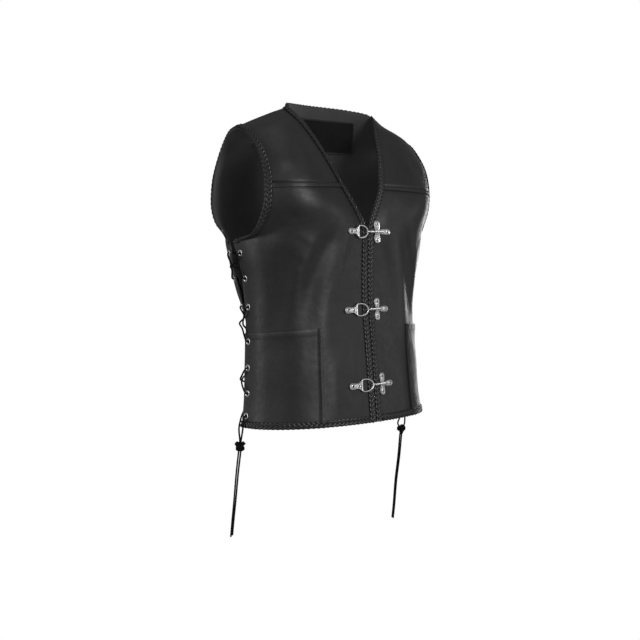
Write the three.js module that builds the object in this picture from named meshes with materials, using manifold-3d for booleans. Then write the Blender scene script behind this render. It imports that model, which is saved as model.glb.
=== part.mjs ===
// A man's black leather vest, as it hangs when worn: two fronts with chest yokes and patch pockets, a one-piece
// back, a braided band round every edge, sides laced through metal eyelets, and three hook-and-eye clasps.
// Millimetres. +X is the wearer's left, -Y the front, +Z up. The origin is midway between the two shoulder seams.
import * as THREE from "three";
import { mergeVertices } from "three/addons/utils/BufferGeometryUtils.js";
import Module from "manifold-3d";

const wasm = await Module();
wasm.setup();

// Leather and seams
const LEATHER = 2.0; // a thick hide
const SEAM_GAP = 0.3; // between pieces that meet at a seam
const CENTRE_GAP = 3.2; // between the two fronts

// Braided edge band
const BAND_WIDTH = 14;
const BAND_HEIGHT = 3.1;

// Side lacing
const LACE_STRIP = 26; // the flat strip along each laced edge
const EYELET_INSET = 13; // from the laced edge to an eyelet's centre
const EYELET_HOLE_R = 3.6;
const EYELET_BARREL_R = 4.5;
const EYELET_FLANGE_R = 7.0;
const EYELET_METAL = 1.1;
const EYELET_SEAT = 0.5; // from a flange to the leather under it
const PUNCH_R = 5.3;
const EYELET_SIDES = 8;
const LACE_R = 1.8;
const EYELET_HEIGHTS = [-596, -551, -500, -447, -378, -321, -270];

// Pocket and yoke
const POCKET_MOUTH = -418; // at the inner seam
const POCKET_MOUTH_SIDE = -431; // at the laced edge
const POCKET_SEAM_ARC = 113; // from the centre front, along the leather, to the pocket's inner seam
const WELT_WIDTH = 9;
const POCKET_WELT = 1.2;
const YOKE_WELT = 1.6;
const POCKET_GAPE = 2.2; // how far the mouth stands off the front

// Clasps
// How far each half stands off the highest leather under its outline; less than nothing where that lies past its cuts.
const CLASPS = [
  { z: -228, hookRest: -0.4, ringRest: 0.2 },
  { z: -384, hookRest: -1.3, ringRest: -0.4 },
  { z: -535, hookRest: -1.2, ringRest: -0.6 },
];

// Sections of the fronts below the arm: height, half width, depth before the side line, swell of the chest, how far
// the laced edge lies behind the side line, and how far the row drops at the side.
const SECTION_POWER = 2.3;
const CHEST_POWER = 3;
const FRONT_SECTIONS = [
  { z: -610, wide: 217, deep: 147, swell: 0, edge: 14, drop: 9 },
  { z: -560, wide: 210, deep: 141, swell: 0, edge: 16, drop: 8 },
  { z: -500, wide: 206, deep: 135, swell: 0, edge: 19, drop: 6 },
  { z: -440, wide: 204, deep: 128, swell: 0, edge: 20, drop: 4 },
  { z: -380, wide: 205, deep: 121, swell: 2, edge: 21, drop: 3 },
  { z: -320, wide: 212, deep: 119, swell: 6, edge: 22, drop: 1 },
  { z: -280, wide: 220, deep: 119, swell: 10, edge: 24, drop: -2 },
  { z: -254, wide: 227, deep: 119, swell: 13, edge: 31, drop: -5 },
];
// The fronts above that: a point on the neck edge, one in the middle and one on the armhole edge.
const FRONT_UPPER = [
  { neck: [1.6, -118, -232], middle: [119, -124, -231], arm: [227, -34, -234] },
  { neck: [7, -115, -208], middle: [121, -129, -207], arm: [222, -57, -204] },
  { neck: [23, -110, -180], middle: [125, -131, -179], arm: [221, -69, -176] },
  { neck: [46, -100, -139], middle: [131, -123, -143], arm: [221, -72, -146] },
  { neck: [58, -87, -108], middle: [138, -110, -112], arm: [221, -69, -115] },
  { neck: [72, -69, -69], middle: [146, -90, -78], arm: [222, -59, -88] },
  { neck: [86, -46, -30], middle: [154, -62, -42], arm: [223, -40, -61] },
  { neck: [98, -28, -3], middle: [162, -34, -14], arm: [226, -12, -36] },
  { neck: [112, -3, 25], middle: [170, 6, 2], arm: [228, 14, -24] },
];
const YOKE_ROW = 11; // the row that the yoke seam follows
const UNDERARM_ROW = 7;

// The back below the arm, with the same columns.
const BACK_SECTIONS = [
  { z: -610, wide: 198, deep: 118, edge: 40, drop: 9 },
  { z: -560, wide: 193, deep: 114, edge: 39, drop: 8 },
  { z: -500, wide: 188, deep: 112, edge: 38, drop: 6 },
  { z: -440, wide: 188, deep: 117, edge: 38, drop: 4 },
  { z: -390, wide: 197, deep: 129, edge: 39, drop: 2 },
  { z: -350, wide: 209, deep: 143, swell: 2, edge: 40, drop: 0 },
  { z: -300, wide: 222, deep: 153, swell: 5, edge: 41, drop: -2 },
  { z: -254, wide: 231, deep: 158, swell: 9, edge: 42, drop: -3 },
];
// The back above that: a point at the centre, one below the neck point and one on the armhole edge.
const BACK_UPPER = [
  { centre: [160, -235], middle: [118, 155, -233], arm: [221, 69, -229] },
  { centre: [161, -212], middle: [116, 158, -210], arm: [226, 89, -208] },
  { centre: [161, -180], middle: [114, 158, -178], arm: [230, 97, -179] },
  { centre: [157, -150], middle: [112, 156, -148], arm: [232, 94, -149] },
  { centre: [149, -115], middle: [112, 150, -114], arm: [233, 86, -119] },
  { centre: [136, -78], middle: [112, 131, -80], arm: [228, 78, -85] },
  { centre: [117, -38], middle: [112, 98, -46], arm: [222, 66, -50] },
  { centre: [95, 3], middle: [112, 52, -8], arm: [226, 41, -31] },
];
// The back's top edge, from the centre round the neck to the neck point and out along the shoulder seam.
const BACK_TOP = [
  [0, 66, 44],
  [42, 59, 43],
  [84, 36, 38],
  [112, -3, 25],
  [151, 3, 10],
  [190, 9, -8],
  [228, 14, -24],
];

// Soft folds, as ridges (positive rise) and troughs: where each starts and ends, as distance from the centre line and
// height, how far it bows sideways, its width and its rise.
const FRONT_FOLDS = [
  { from: [50, -205], to: [110, -470], bow: -16, width: 20, rise: 4.5 },
  { from: [92, -215], to: [142, -400], bow: -10, width: 18, rise: -4.0 },
  { from: [124, -235], to: [165, -390], bow: -12, width: 16, rise: 3.2 },
  { from: [190, -255], to: [178, -395], bow: 8, width: 13, rise: -3.0 },
  { from: [208, -285], to: [197, -415], bow: 5, width: 8, rise: 2.0 },
  { from: [36, -420], to: [58, -590], bow: 6, width: 20, rise: -2.6 },
  { from: [90, -480], to: [96, -600], bow: 0, width: 15, rise: 2.2 },
  { from: [150, -60], to: [198, -128], bow: 10, width: 18, rise: -2.4 },
];
const BACK_FOLDS = [
  { from: [0, -90], to: [0, -330], bow: 0, width: 26, rise: -3.0 },
  { from: [90, -230], to: [57, -470], bow: 14, width: 22, rise: 4.0 },
  { from: [134, -240], to: [101, -440], bow: 12, width: 18, rise: -3.6 },
  { from: [172, -250], to: [132, -430], bow: 14, width: 16, rise: 3.4 },
  { from: [202, -265], to: [166, -420], bow: 8, width: 12, rise: -2.6 },
  { from: [108, -470], to: [116, -600], bow: 0, width: 20, rise: 2.6 },
  { from: [50, -455], to: [46, -590], bow: 0, width: 20, rise: -2.4 },
];

const COLUMNS = 7; // points kept along each section
const vec = (x, y, z) => new THREE.Vector3(x, y, z);
const mix = (a, b, t) => a + (b - a) * t;
const power = (value, exponent) => Math.sign(value) * Math.abs(value) ** exponent;

// Evenly spaced points along a polyline.
function spaced(points, count) {
  const along = [0];
  for (let i = 1; i < points.length; i++) along.push(along[i - 1] + points[i].distanceTo(points[i - 1]));
  const total = along.at(-1);
  return Array.from({ length: count }, (_, k) => {
    const wanted = (total * k) / (count - 1);
    const i = Math.min(points.length - 2, Math.max(0, along.findIndex((a) => a > wanted) - 1));
    const at = along[i + 1] > wanted || k < count - 1 ? i : points.length - 2;
    const share = (wanted - along[at]) / (along[at + 1] - along[at]);
    return points[at].clone().lerp(points[at + 1], share);
  });
}

// A ring section from the centre line round to the laced edge. side is -1 for a front and +1 for the back.
function sectionRow(row, side, start) {
  const points = [];
  const steps = 60;
  const edgeShare = row.edge / row.deep;
  const first = Math.asin((start / row.wide) ** (SECTION_POWER / 2));
  const turn = Math.acos(Math.min(1, edgeShare) ** (SECTION_POWER / 2));
  const last = side < 0 ? Math.PI - turn : turn;
  for (let i = 0; i <= steps; i++) {
    const angle = mix(first, last, i / steps);
    const x = row.wide * power(Math.sin(angle), 2 / SECTION_POWER);
    const depth = row.deep * power(Math.cos(angle), 2 / SECTION_POWER);
    const share = i / steps;
    const swell = (row.swell ?? 0) * Math.sin(Math.PI * Math.min(1, share / 0.85));
    points.push(vec(x, side * (depth + swell), row.z - row.drop * share * share));
  }
  return spaced(points, COLUMNS);
}

// A row above the arm on a front, through its three points: a flat chest that turns back ever faster to the arm.
function frontUpperRow(row) {
  const [a, m, b] = [row.neck, row.middle, row.arm];
  const shareOf = (x) => (x - a[0]) / (b[0] - a[0]);
  const at = (axis, power, x) => {
    const share = shareOf(m[0]);
    const [toMiddle, toArm] = [m[axis] - a[axis], b[axis] - a[axis]];
    const bend = (toArm * share - toMiddle) / (share - share ** power);
    return a[axis] + (toArm - bend) * shareOf(x) + bend * shareOf(x) ** power;
  };
  const points = [];
  for (let i = 0; i <= 40; i++) {
    const x = mix(a[0], b[0], i / 40);
    points.push(vec(x, at(1, CHEST_POWER, x), at(2, 2, x)));
  }
  return spaced(points, COLUMNS);
}

// A row above the arm on the back: even in x about the centre line, through its three points.
function backUpperRow(row) {
  const [m, b] = [row.middle, row.arm];
  const even = (centre, atMiddle, atArm) => {
    const m2 = m[0] ** 2;
    const b2 = b[0] ** 2;
    const quartic = ((atArm - centre) / b2 - (atMiddle - centre) / m2) / (b2 - m2);
    const square = (atMiddle - centre) / m2 - quartic * m2;
    return (x) => centre + square * x * x + quartic * x ** 4;
  };
  const yOf = even(row.centre[0], m[1], b[1]);
  const zOf = even(row.centre[1], m[2], b[2]);
  return Array.from({ length: COLUMNS }, (_, k) => {
    const x = k <= 3 ? (m[0] * k) / 3 : mix(m[0], b[0], (k - 3) / 3);
    return vec(x, yOf(x), zOf(x));
  });
}

const frontRows = [
  ...FRONT_SECTIONS.map((row) => sectionRow(row, -1, CENTRE_GAP / 2)),
  ...FRONT_UPPER.map(frontUpperRow),
];
// The chest runs smoothly past the underarm: there each row is eased towards the rows below and above it.
const EASED_ROWS = [7, 8, 9, 8];
for (const r of EASED_ROWS)
  for (let k = 1; k < COLUMNS - 1; k++) {
    const between = frontRows[r - 1][k].clone().lerp(frontRows[r + 1][k], 0.5);
    frontRows[r][k].lerp(between, 0.5);
  }
const backRows = [
  ...BACK_SECTIONS.map((row) => sectionRow(row, 1, 0)),
  ...BACK_UPPER.map(backUpperRow),
  BACK_TOP.map((p) => vec(...p)),
];
const FRONT_TOP = frontRows.length - 1;
const BACK_TOP_ROW = backRows.length - 1;

// A smooth sheet through rows of points. u runs along a row from 0 to COLUMNS - 1, and r counts the rows from the hem.
class Sheet {
  constructor(rows, folds, symmetric) {
    this.rows = rows;
    this.folds = folds;
    this.symmetric = symmetric;
    this.columns = rows[0].map((_, k) => new THREE.CatmullRomCurve3(rows.map((row) => row[k]), false, "centripetal"));
    this.kept = new Map();
  }
  rowCurve(r) {
    if (!this.kept.has(r)) {
      const points = this.columns.map((curve) => curve.getPoint(r / (this.rows.length - 1)));
      const mirrored = this.symmetric ? [vec(-points[1].x, points[1].y, points[1].z)] : [];
      this.kept.set(r, new THREE.CatmullRomCurve3([...mirrored, ...points], false, "centripetal"));
    }
    return this.kept.get(r);
  }
  bare(u, r) {
    if (this.symmetric && u < 0) {
      const p = this.bare(-u, r);
      return vec(-p.x, p.y, p.z);
    }
    const curve = this.rowCurve(r);
    const spare = this.symmetric ? 1 : 0;
    return curve.getPoint((u + spare) / (COLUMNS - 1 + spare));
  }
  bareNormal(u, r) {
    const step = 0.02;
    const top = this.rows.length - 1;
    const [u0, u1] = [Math.max(u - step, this.symmetric ? 1 - COLUMNS : 0), Math.min(u + step, COLUMNS - 1)];
    const [r0, r1] = [Math.max(r - step, 0), Math.min(r + step, top)];
    const across = this.bare(u1, r).sub(this.bare(u0, r));
    const up = this.bare(u, r1).sub(this.bare(u, r0));
    const n = across.cross(up).normalize();
    return this.rows[0][0].y < 0 ? n : n.negate();
  }
  // How far the folds lift the leather at a point.
  lift(p) {
    const out = Math.abs(p.x);
    let total = 0;
    for (const fold of this.folds) {
      const [ax, az] = fold.from;
      const [dx, dz] = [fold.to[0] - ax, fold.to[1] - az];
      const long = Math.hypot(dx, dz);
      const s = ((out - ax) * dx + (p.z - az) * dz) / long ** 2;
      if (s < -0.2 || s > 1.2) continue;
      const off = ((out - ax) * dz - (p.z - az) * dx) / long - fold.bow * Math.sin(Math.PI * Math.min(1, Math.max(0, s)));
      const taper = THREE.MathUtils.smoothstep(s, -0.2, 0.3) * (1 - THREE.MathUtils.smoothstep(s, 0.65, 1.2));
      total += fold.rise * taper * Math.exp(-((off / fold.width) ** 2));
    }
    return total;
  }
  point(u, r) {
    const p = this.bare(u, r);
    const lift = this.lift(p) * this.calm(u, r);
    return lift === 0 ? p : p.addScaledVector(this.bareNormal(u, r), lift);
  }
  // Folds die out towards the edges, where the bands and the lacing hold the leather.
  calm(u, r) {
    const side = THREE.MathUtils.smoothstep(COLUMNS - 1 - Math.abs(u), 0.15, 1.1);
    const centre = this.symmetric ? 1 : THREE.MathUtils.smoothstep(u, 0.2, 0.9);
    const hem = THREE.MathUtils.smoothstep(r, -0.3, 0.6);
    return side * centre * hem;
  }
  // The u at which the leather is wanted mm from the end of the row.
  fromEdge(r, wanted) {
    let [low, high] = [COLUMNS - 2.2, COLUMNS - 1];
    const edge = this.bare(COLUMNS - 1, r);
    for (let i = 0; i < 24; i++) {
      const middle = (low + high) / 2;
      if (this.bare(middle, r).distanceTo(edge) > wanted) low = middle;
      else high = middle;
    }
    return (low + high) / 2;
  }
  fromCentre(r, wanted) {
    let [low, high] = [0, COLUMNS - 1];
    const edge = this.bare(0, r);
    for (let i = 0; i < 24; i++) {
      const middle = (low + high) / 2;
      if (this.bare(middle, r).distanceTo(edge) < wanted) low = middle;
      else high = middle;
    }
    return (low + high) / 2;
  }
  // The r at which column u is at height z.
  rowAt(u, z) {
    let [low, high] = [0, this.rows.length - 1];
    for (let i = 0; i < 30; i++) {
      const middle = (low + high) / 2;
      if (this.bare(u, middle).z < z) low = middle;
      else high = middle;
    }
    return (low + high) / 2;
  }
  // The r that lies wanted mm from row r0 along column u, upwards if direction is 1.
  stepFrom(u, r0, wanted, direction) {
    const start = this.bare(u, r0);
    let [near, far] = [r0, r0 + direction * 1.6];
    for (let i = 0; i < 26; i++) {
      const middle = (near + far) / 2;
      if (this.bare(u, middle).distanceTo(start) < wanted) near = middle;
      else far = middle;
    }
    return (near + far) / 2;
  }
}

const front = new Sheet(frontRows, FRONT_FOLDS, false);
const back = new Sheet(backRows, BACK_FOLDS, true);

// A grid of places on a sheet, as points and outward normals.
function gridOf(sheet, us, rs, uAt = (u) => u, rAt = (u, r) => r) {
  return rs.map((r, i) =>
    us.map((u, j) => {
      const atU = uAt(u, r, j, i);
      const atR = rAt(atU, r, j, i);
      return { p: sheet.point(atU, atR), n: sheet.bareNormal(atU, atR), u: atU, r: atR };
    }),
  );
}

// At the shoulder seam both sides of the seam use the same upright normal.
function levelSeamNormals(row) {
  for (const cell of row) {
    const side = Math.sign(cell.p.x) || 1;
    cell.n = vec(0.4 * side, 0, 0.917).normalize();
  }
}

function geometryOf(points, triangles) {
  const geometry = new THREE.BufferGeometry();
  geometry.setAttribute("position", new THREE.Float32BufferAttribute(points.flatMap((p) => [p.x, p.y, p.z]), 3));
  let volume = 0;
  for (const [a, b, c] of triangles) volume += points[a].dot(points[b].clone().cross(points[c]));
  geometry.setIndex((volume < 0 ? triangles.map(([a, b, c]) => [a, c, b]) : triangles).flat());
  return geometry;
}

// Whether the diagonal from a to c lies under the one from b to d, seen from the side that n points to.
function fallsAlong(a, b, c, d, n) {
  const middle = a.clone().add(c).sub(b).sub(d);
  return middle.dot(n) <= 0;
}

// A closed wall between an outer and an inner grid of points. Each cell folds the way that lies lower, so whatever is
// laid on it stays clear.
function wall(outer, inner) {
  const rows = outer.length;
  const cols = outer[0].length;
  const points = [...outer.flat(), ...inner.flat()];
  const out = (i, j) => i * cols + j;
  const inn = (i, j) => rows * cols + i * cols + j;
  const triangles = [];
  const quad = (a, b, c, d) => triangles.push([a, b, c], [a, c, d]);
  for (let i = 0; i < rows - 1; i++)
    for (let j = 0; j < cols - 1; j++) {
      const n = outer[i][j].clone().sub(inner[i][j]);
      if (fallsAlong(outer[i][j], outer[i][j + 1], outer[i + 1][j + 1], outer[i + 1][j], n)) {
        quad(out(i, j), out(i, j + 1), out(i + 1, j + 1), out(i + 1, j));
        quad(inn(i, j), inn(i + 1, j), inn(i + 1, j + 1), inn(i, j + 1));
      } else {
        quad(out(i, j + 1), out(i + 1, j + 1), out(i + 1, j), out(i, j));
        quad(inn(i, j + 1), inn(i, j), inn(i + 1, j), inn(i + 1, j + 1));
      }
    }
  for (let j = 0; j < cols - 1; j++) {
    quad(out(0, j + 1), out(0, j), inn(0, j), inn(0, j + 1));
    quad(out(rows - 1, j), out(rows - 1, j + 1), inn(rows - 1, j + 1), inn(rows - 1, j));
  }
  for (let i = 0; i < rows - 1; i++) {
    quad(out(i, 0), out(i + 1, 0), inn(i + 1, 0), inn(i, 0));
    quad(out(i + 1, cols - 1), out(i, cols - 1), inn(i, cols - 1), inn(i + 1, cols - 1));
  }
  return geometryOf(points, triangles);
}

const lifted = (grid, height) =>
  grid.map((row, i) =>
    row.map((cell, j) => {
      const h = typeof height === "function" ? height(cell, i, j) : height;
      return cell.p.clone().addScaledVector(cell.n, h);
    }),
  );

function mirror(geometry) {
  const copy = geometry.clone().scale(-1, 1, 1);
  const index = [...copy.index.array];
  for (let i = 0; i < index.length; i += 3) [index[i + 1], index[i + 2]] = [index[i + 2], index[i + 1]];
  copy.setIndex(index);
  return copy;
}

function solidOf(geometry) {
  const plain = geometry.clone();
  plain.deleteAttribute("normal");
  plain.deleteAttribute("uv");
  const merged = mergeVertices(plain, 1e-4);
  return new wasm.Manifold(
    new wasm.Mesh({
      numProp: 3,
      vertProperties: merged.attributes.position.array,
      triVerts: new Uint32Array(merged.index.array),
    }),
  );
}

function geometryFrom(solid) {
  const mesh = solid.getMesh();
  const geometry = new THREE.BufferGeometry();
  geometry.setAttribute("position", new THREE.BufferAttribute(new Float32Array(mesh.vertProperties), 3));
  geometry.setIndex([...mesh.triVerts]);
  return geometry;
}

// A frame whose z axis is the outward normal at a place on the leather.
function frameAt(p, n, along) {
  const z = n.clone().normalize();
  const x = along.clone().addScaledVector(z, -along.dot(z)).normalize();
  const y = z.clone().cross(x);
  return new THREE.Matrix4().makeBasis(x, y, z).setPosition(p);
}

// A tube of even section along a list of points, with flat ends.
function tube(points, radius, sides) {
  const count = points.length;
  const tangents = points.map((p, i) =>
    points[Math.min(i + 1, count - 1)].clone().sub(points[Math.max(i - 1, 0)]).normalize(),
  );
  let normal = Math.abs(tangents[0].y) < 0.9 ? vec(0, 1, 0) : vec(1, 0, 0);
  const rings = points.map((p, i) => {
    normal = normal.clone().addScaledVector(tangents[i], -normal.dot(tangents[i])).normalize();
    const side = tangents[i].clone().cross(normal);
    return Array.from({ length: sides }, (_, k) => {
      const angle = (2 * Math.PI * k) / sides;
      return p.clone().addScaledVector(normal, radius * Math.cos(angle)).addScaledVector(side, radius * Math.sin(angle));
    });
  });
  const vertices = [...rings.flat(), points[0], points[count - 1]];
  const triangles = [];
  for (let i = 0; i < count - 1; i++)
    for (let k = 0; k < sides; k++) {
      const next = (k + 1) % sides;
      triangles.push([i * sides + k, i * sides + next, (i + 1) * sides + next]);
      triangles.push([i * sides + k, (i + 1) * sides + next, (i + 1) * sides + k]);
    }
  for (let k = 0; k < sides; k++) {
    const next = (k + 1) % sides;
    triangles.push([count * sides, next, k]);
    triangles.push([count * sides + 1, (count - 1) * sides + k, (count - 1) * sides + next]);
  }
  return geometryOf(vertices, triangles);
}

// The same round a loop that lies flat.
function closedTube(points, radius, sides) {
  const count = points.length;
  const rings = points.map((p, i) => {
    const tangent = points[(i + 1) % count].clone().sub(points[(i + count - 1) % count]).normalize();
    const side = tangent.clone().cross(vec(0, 0, 1));
    return Array.from({ length: sides }, (_, k) => {
      const angle = (2 * Math.PI * k) / sides;
      return p.clone().addScaledVector(side, radius * Math.cos(angle)).add(vec(0, 0, radius * Math.sin(angle)));
    });
  });
  const triangles = [];
  for (let i = 0; i < count; i++)
    for (let k = 0; k < sides; k++) {
      const [a, b] = [i * sides, ((i + 1) % count) * sides];
      const next = (k + 1) % sides;
      triangles.push([a + k, a + next, b + next], [a + k, b + next, b + k]);
    }
  return geometryOf(rings.flat(), triangles);
}

// The front's columns: the band strip, the body of the panel and the laced strip.
const stripWidth = (r) => (r < UNDERARM_ROW ? LACE_STRIP : BAND_WIDTH);
const FRONT_COLUMNS = ["edge", "band", 1, 2, "pocket", 3, 4, 5, "lace", "side"];
const PANEL_SHARES = { 1: 0.17, 2: 0.34, 3: 0.56, 4: 0.72, 5: 0.86 }; // of the way from the band to the laced strip
const hemRow = (sheet, u) => sheet.stepFrom(u, 0, BAND_WIDTH, 1);

function frontU(column, r) {
  if (column === "edge") return 0;
  if (column === "band") return front.fromCentre(r, BAND_WIDTH);
  if (column === "lace") return front.fromEdge(r, stripWidth(r));
  if (column === "side") return COLUMNS - 1;
  const inner = front.fromCentre(r, BAND_WIDTH);
  const outer = front.fromEdge(r, stripWidth(r));
  return mix(inner, outer, column === "pocket" ? pocketShare : PANEL_SHARES[column]);
}
const POCKET_LEVEL = 2; // the row at which the pocket's seam is measured
const pocketSeamU = front.fromCentre(POCKET_LEVEL, POCKET_SEAM_ARC);
const [bandU, laceU] = [front.fromCentre(POCKET_LEVEL, BAND_WIDTH), front.fromEdge(POCKET_LEVEL, LACE_STRIP)];
const pocketShare = (pocketSeamU - bandU) / (laceU - bandU);

// Rows up the sides, by height at the laced edge, each clear of the eyelets.
const SIDE_ROWS_LOW = [-586, -563, -540, -515, -488, -460];
const SIDE_ROWS_HIGH = [-406, -388, -363, -336, -310, -285, -261];
const sideRows = (sheet, heights) => heights.map((z) => sheet.rowAt(COLUMNS - 1, z));
const lowerRows = [
  ...sideRows(front, SIDE_ROWS_LOW),
  "mouth",
  ...sideRows(front, SIDE_ROWS_HIGH),
  UNDERARM_ROW,
  7.5,
  8,
  8.7,
  9.6,
  10.3,
];
const mouthAt = (u) => front.rowAt(u, mix(POCKET_MOUTH, POCKET_MOUTH_SIDE, (u - pocketSeamU) / (COLUMNS - 1 - pocketSeamU)));
const yokeRows = [11.7, 12.4, 13.1, 13.8, 14.4, 15, 15.45, 15.8];
const seamShare = SEAM_GAP / 2;

const frontGrid = gridOf(
  front,
  FRONT_COLUMNS,
  [0, "band", ...lowerRows, "seam"],
  (column, r) => frontU(column, { band: 0.2, seam: YOKE_ROW, mouth: 4.2 }[r] ?? r),
  (u, r) => {
    if (r === "band") return hemRow(front, u);
    if (r === "mouth") return mouthAt(Math.max(u, pocketSeamU));
    if (r === "seam") return front.stepFrom(u, YOKE_ROW, seamShare, -1);
    return r;
  },
);

const weltAt = (u, share) => front.stepFrom(u, YOKE_ROW, WELT_WIDTH * share + seamShare, 1);
const yokeGrid = gridOf(
  front,
  FRONT_COLUMNS,
  ["seam", "welt", "above", ...yokeRows, "top"],
  (column, r) => frontU(column, { seam: YOKE_ROW, welt: YOKE_ROW + 0.3, above: YOKE_ROW + 0.35, top: FRONT_TOP }[r] ?? r),
  (u, r) => {
    if (r === "seam") return front.stepFrom(u, YOKE_ROW, seamShare, 1);
    if (r === "welt") return weltAt(u, 1);
    if (r === "above") return weltAt(u, 1.3);
    if (r === "top") return FRONT_TOP;
    return r;
  },
);
levelSeamNormals(yokeGrid.at(-1));
for (const cell of yokeGrid.at(-1)) cell.p.y -= seamShare;

// A place on a grid's facets, a fraction of the way across cell (i, j).
function onFacets(grid, i, j, s, t) {
  const [a, b, c, d] = [grid[i][j], grid[i][j + 1], grid[i + 1][j], grid[i + 1][j + 1]];
  const p = a.p.clone().lerp(b.p, s).lerp(c.p.clone().lerp(d.p, s), t);
  const n = a.n.clone().lerp(b.n, s).lerp(c.n.clone().lerp(d.n, s), t).normalize();
  return { p, n };
}

// Eyelets along the last strip of a grid, each at its height.
function eyeletFrames(grid, rise) {
  return EYELET_HEIGHTS.map((z, k) => {
    const last = grid[0].length - 1;
    let i = 0;
    while (grid[i + 1][last].p.z < z) i++;
    const [low, high] = [grid[i][last].p.z, grid[i + 1][last].p.z];
    const width = grid[i][last].p.distanceTo(grid[i][last - 1].p);
    const place = onFacets(grid, i, last - 1, 1 - EYELET_INSET / width, (z - low) / (high - low));
    const up = grid[i + 1][last].p.clone().sub(grid[i][last].p);
    const rising = grid[i + 1][last].p.clone().sub(grid[i][last - 1].p);
    const falling = grid[i][last].p.clone().sub(grid[i + 1][last - 1].p);
    const n = falling.cross(rising).normalize();
    if (n.dot(place.n) < 0) n.negate();
    place.p.addScaledVector(place.n, rise(k));
    return { matrix: frameAt(place.p, n, up), p: place.p, n, up: up.normalize(), thick: LEATHER + rise(k) };
  });
}

function eyeletGeometry(thick) {
  const top = EYELET_SEAT;
  const bottom = -thick - EYELET_SEAT;
  const profile = [
    [EYELET_HOLE_R, bottom - EYELET_METAL],
    [EYELET_FLANGE_R - 1, bottom],
    [EYELET_BARREL_R, bottom],
    [EYELET_BARREL_R, top],
    [EYELET_FLANGE_R, top],
    [EYELET_HOLE_R, top + EYELET_METAL],
  ].map(([r, z]) => new THREE.Vector2(r, z));
  profile.push(profile[0].clone());
  const lathe = new THREE.LatheGeometry(profile, EYELET_SIDES).rotateX(Math.PI / 2);
  lathe.deleteAttribute("normal");
  lathe.deleteAttribute("uv");
  const merged = mergeVertices(lathe, 1e-4);
  const at = merged.attributes.position;
  const points = Array.from({ length: at.count }, (_, i) => vec(at.getX(i), at.getY(i), at.getZ(i)));
  const index = [...merged.index.array];
  const triangles = Array.from({ length: index.length / 3 }, (_, i) => index.slice(3 * i, 3 * i + 3));
  return geometryOf(points, triangles);
}

function punch(geometry, frames) {
  let solid = solidOf(geometry);
  for (const frame of frames) {
    const pin = new THREE.CylinderGeometry(PUNCH_R, PUNCH_R, 24, EYELET_SIDES).rotateX(Math.PI / 2).applyMatrix4(frame.matrix);
    solid = solid.subtract(solidOf(pin));
  }
  return geometryFrom(solid);
}

// The pocket lies on the front, from its inner seam to the laced edge and from the mouth to the hem.
const POCKET_FIRST = FRONT_COLUMNS.indexOf("pocket");
const pocketTop = 2 + SIDE_ROWS_LOW.length;
const weltShare = (row) => WELT_WIDTH / row[POCKET_FIRST].p.distanceTo(row[POCKET_FIRST + 1].p);
const pocketGrid = frontGrid.slice(0, pocketTop + 1).map((row) => {
  const start = row[POCKET_FIRST];
  const next = row[POCKET_FIRST + 1];
  const between = (share) => ({
    p: start.p.clone().lerp(next.p, share),
    n: start.n.clone().lerp(next.n, share).normalize(),
  });
  return [start, between(weltShare(row)), between(weltShare(row) * 1.25), ...row.slice(POCKET_FIRST + 1)];
});
const pocketRows = pocketGrid.length - 1;
const pocketCols = pocketGrid[0].length - 1;
const gapeAt = (i, j) =>
  POCKET_GAPE *
  Math.sin(Math.PI * THREE.MathUtils.clamp((j - 2) / (pocketCols - 3), 0, 1)) *
  Math.max(0, 1 - (pocketRows - i) / 2.5);
const pocketBase = (cell, i, j) => SEAM_GAP + gapeAt(i, j);

// Where the pocket covers the laced strip, eyelets go through both layers.
const onPocket = (k) => EYELET_HEIGHTS[k] < POCKET_MOUTH - 12;
const frontEyelets = eyeletFrames(frontGrid, (k) => (onPocket(k) ? SEAM_GAP + LEATHER : 0));

const frontPanel = punch(wall(lifted(frontGrid, 0), lifted(frontGrid, -LEATHER)), frontEyelets);
const pocket = punch(
  wall(
    lifted(pocketGrid, (cell, i, j) => pocketBase(cell, i, j) + LEATHER + (j < 2 ? POCKET_WELT : 0)),
    lifted(pocketGrid, pocketBase),
  ),
  frontEyelets.filter((_, k) => onPocket(k)),
);
const lastColumn = FRONT_COLUMNS.length - 1;
// The yoke's lower edge is a raised welt between the bands.
const yokeRise = (cell, i, j) => (i < 2 && j > 1 && j < lastColumn - 1 ? YOKE_WELT : 0);
const yoke = wall(lifted(yokeGrid, yokeRise), lifted(yokeGrid, -LEATHER));

// The back's columns, mirrored about the centre.
const BACK_HALF = [0.7, 1.4, 2.2, 3, 4, "lace", "side"];
const backU = (column, r) => {
  if (column === "lace") return back.fromEdge(r, stripWidth(r));
  if (column === "side") return COLUMNS - 1;
  if (column <= 3) return column;
  return mix(3, back.fromEdge(r, stripWidth(r)), 0.5);
};
const backRowsAt = [
  ...[-582, -545, -510, -475, -440, -405, -372, -340, -310, -280].map((z) => back.rowAt(2, z)),
  UNDERARM_ROW,
  8,
  8.6,
  9.3,
  10,
  11,
  12,
  13,
];
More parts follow.
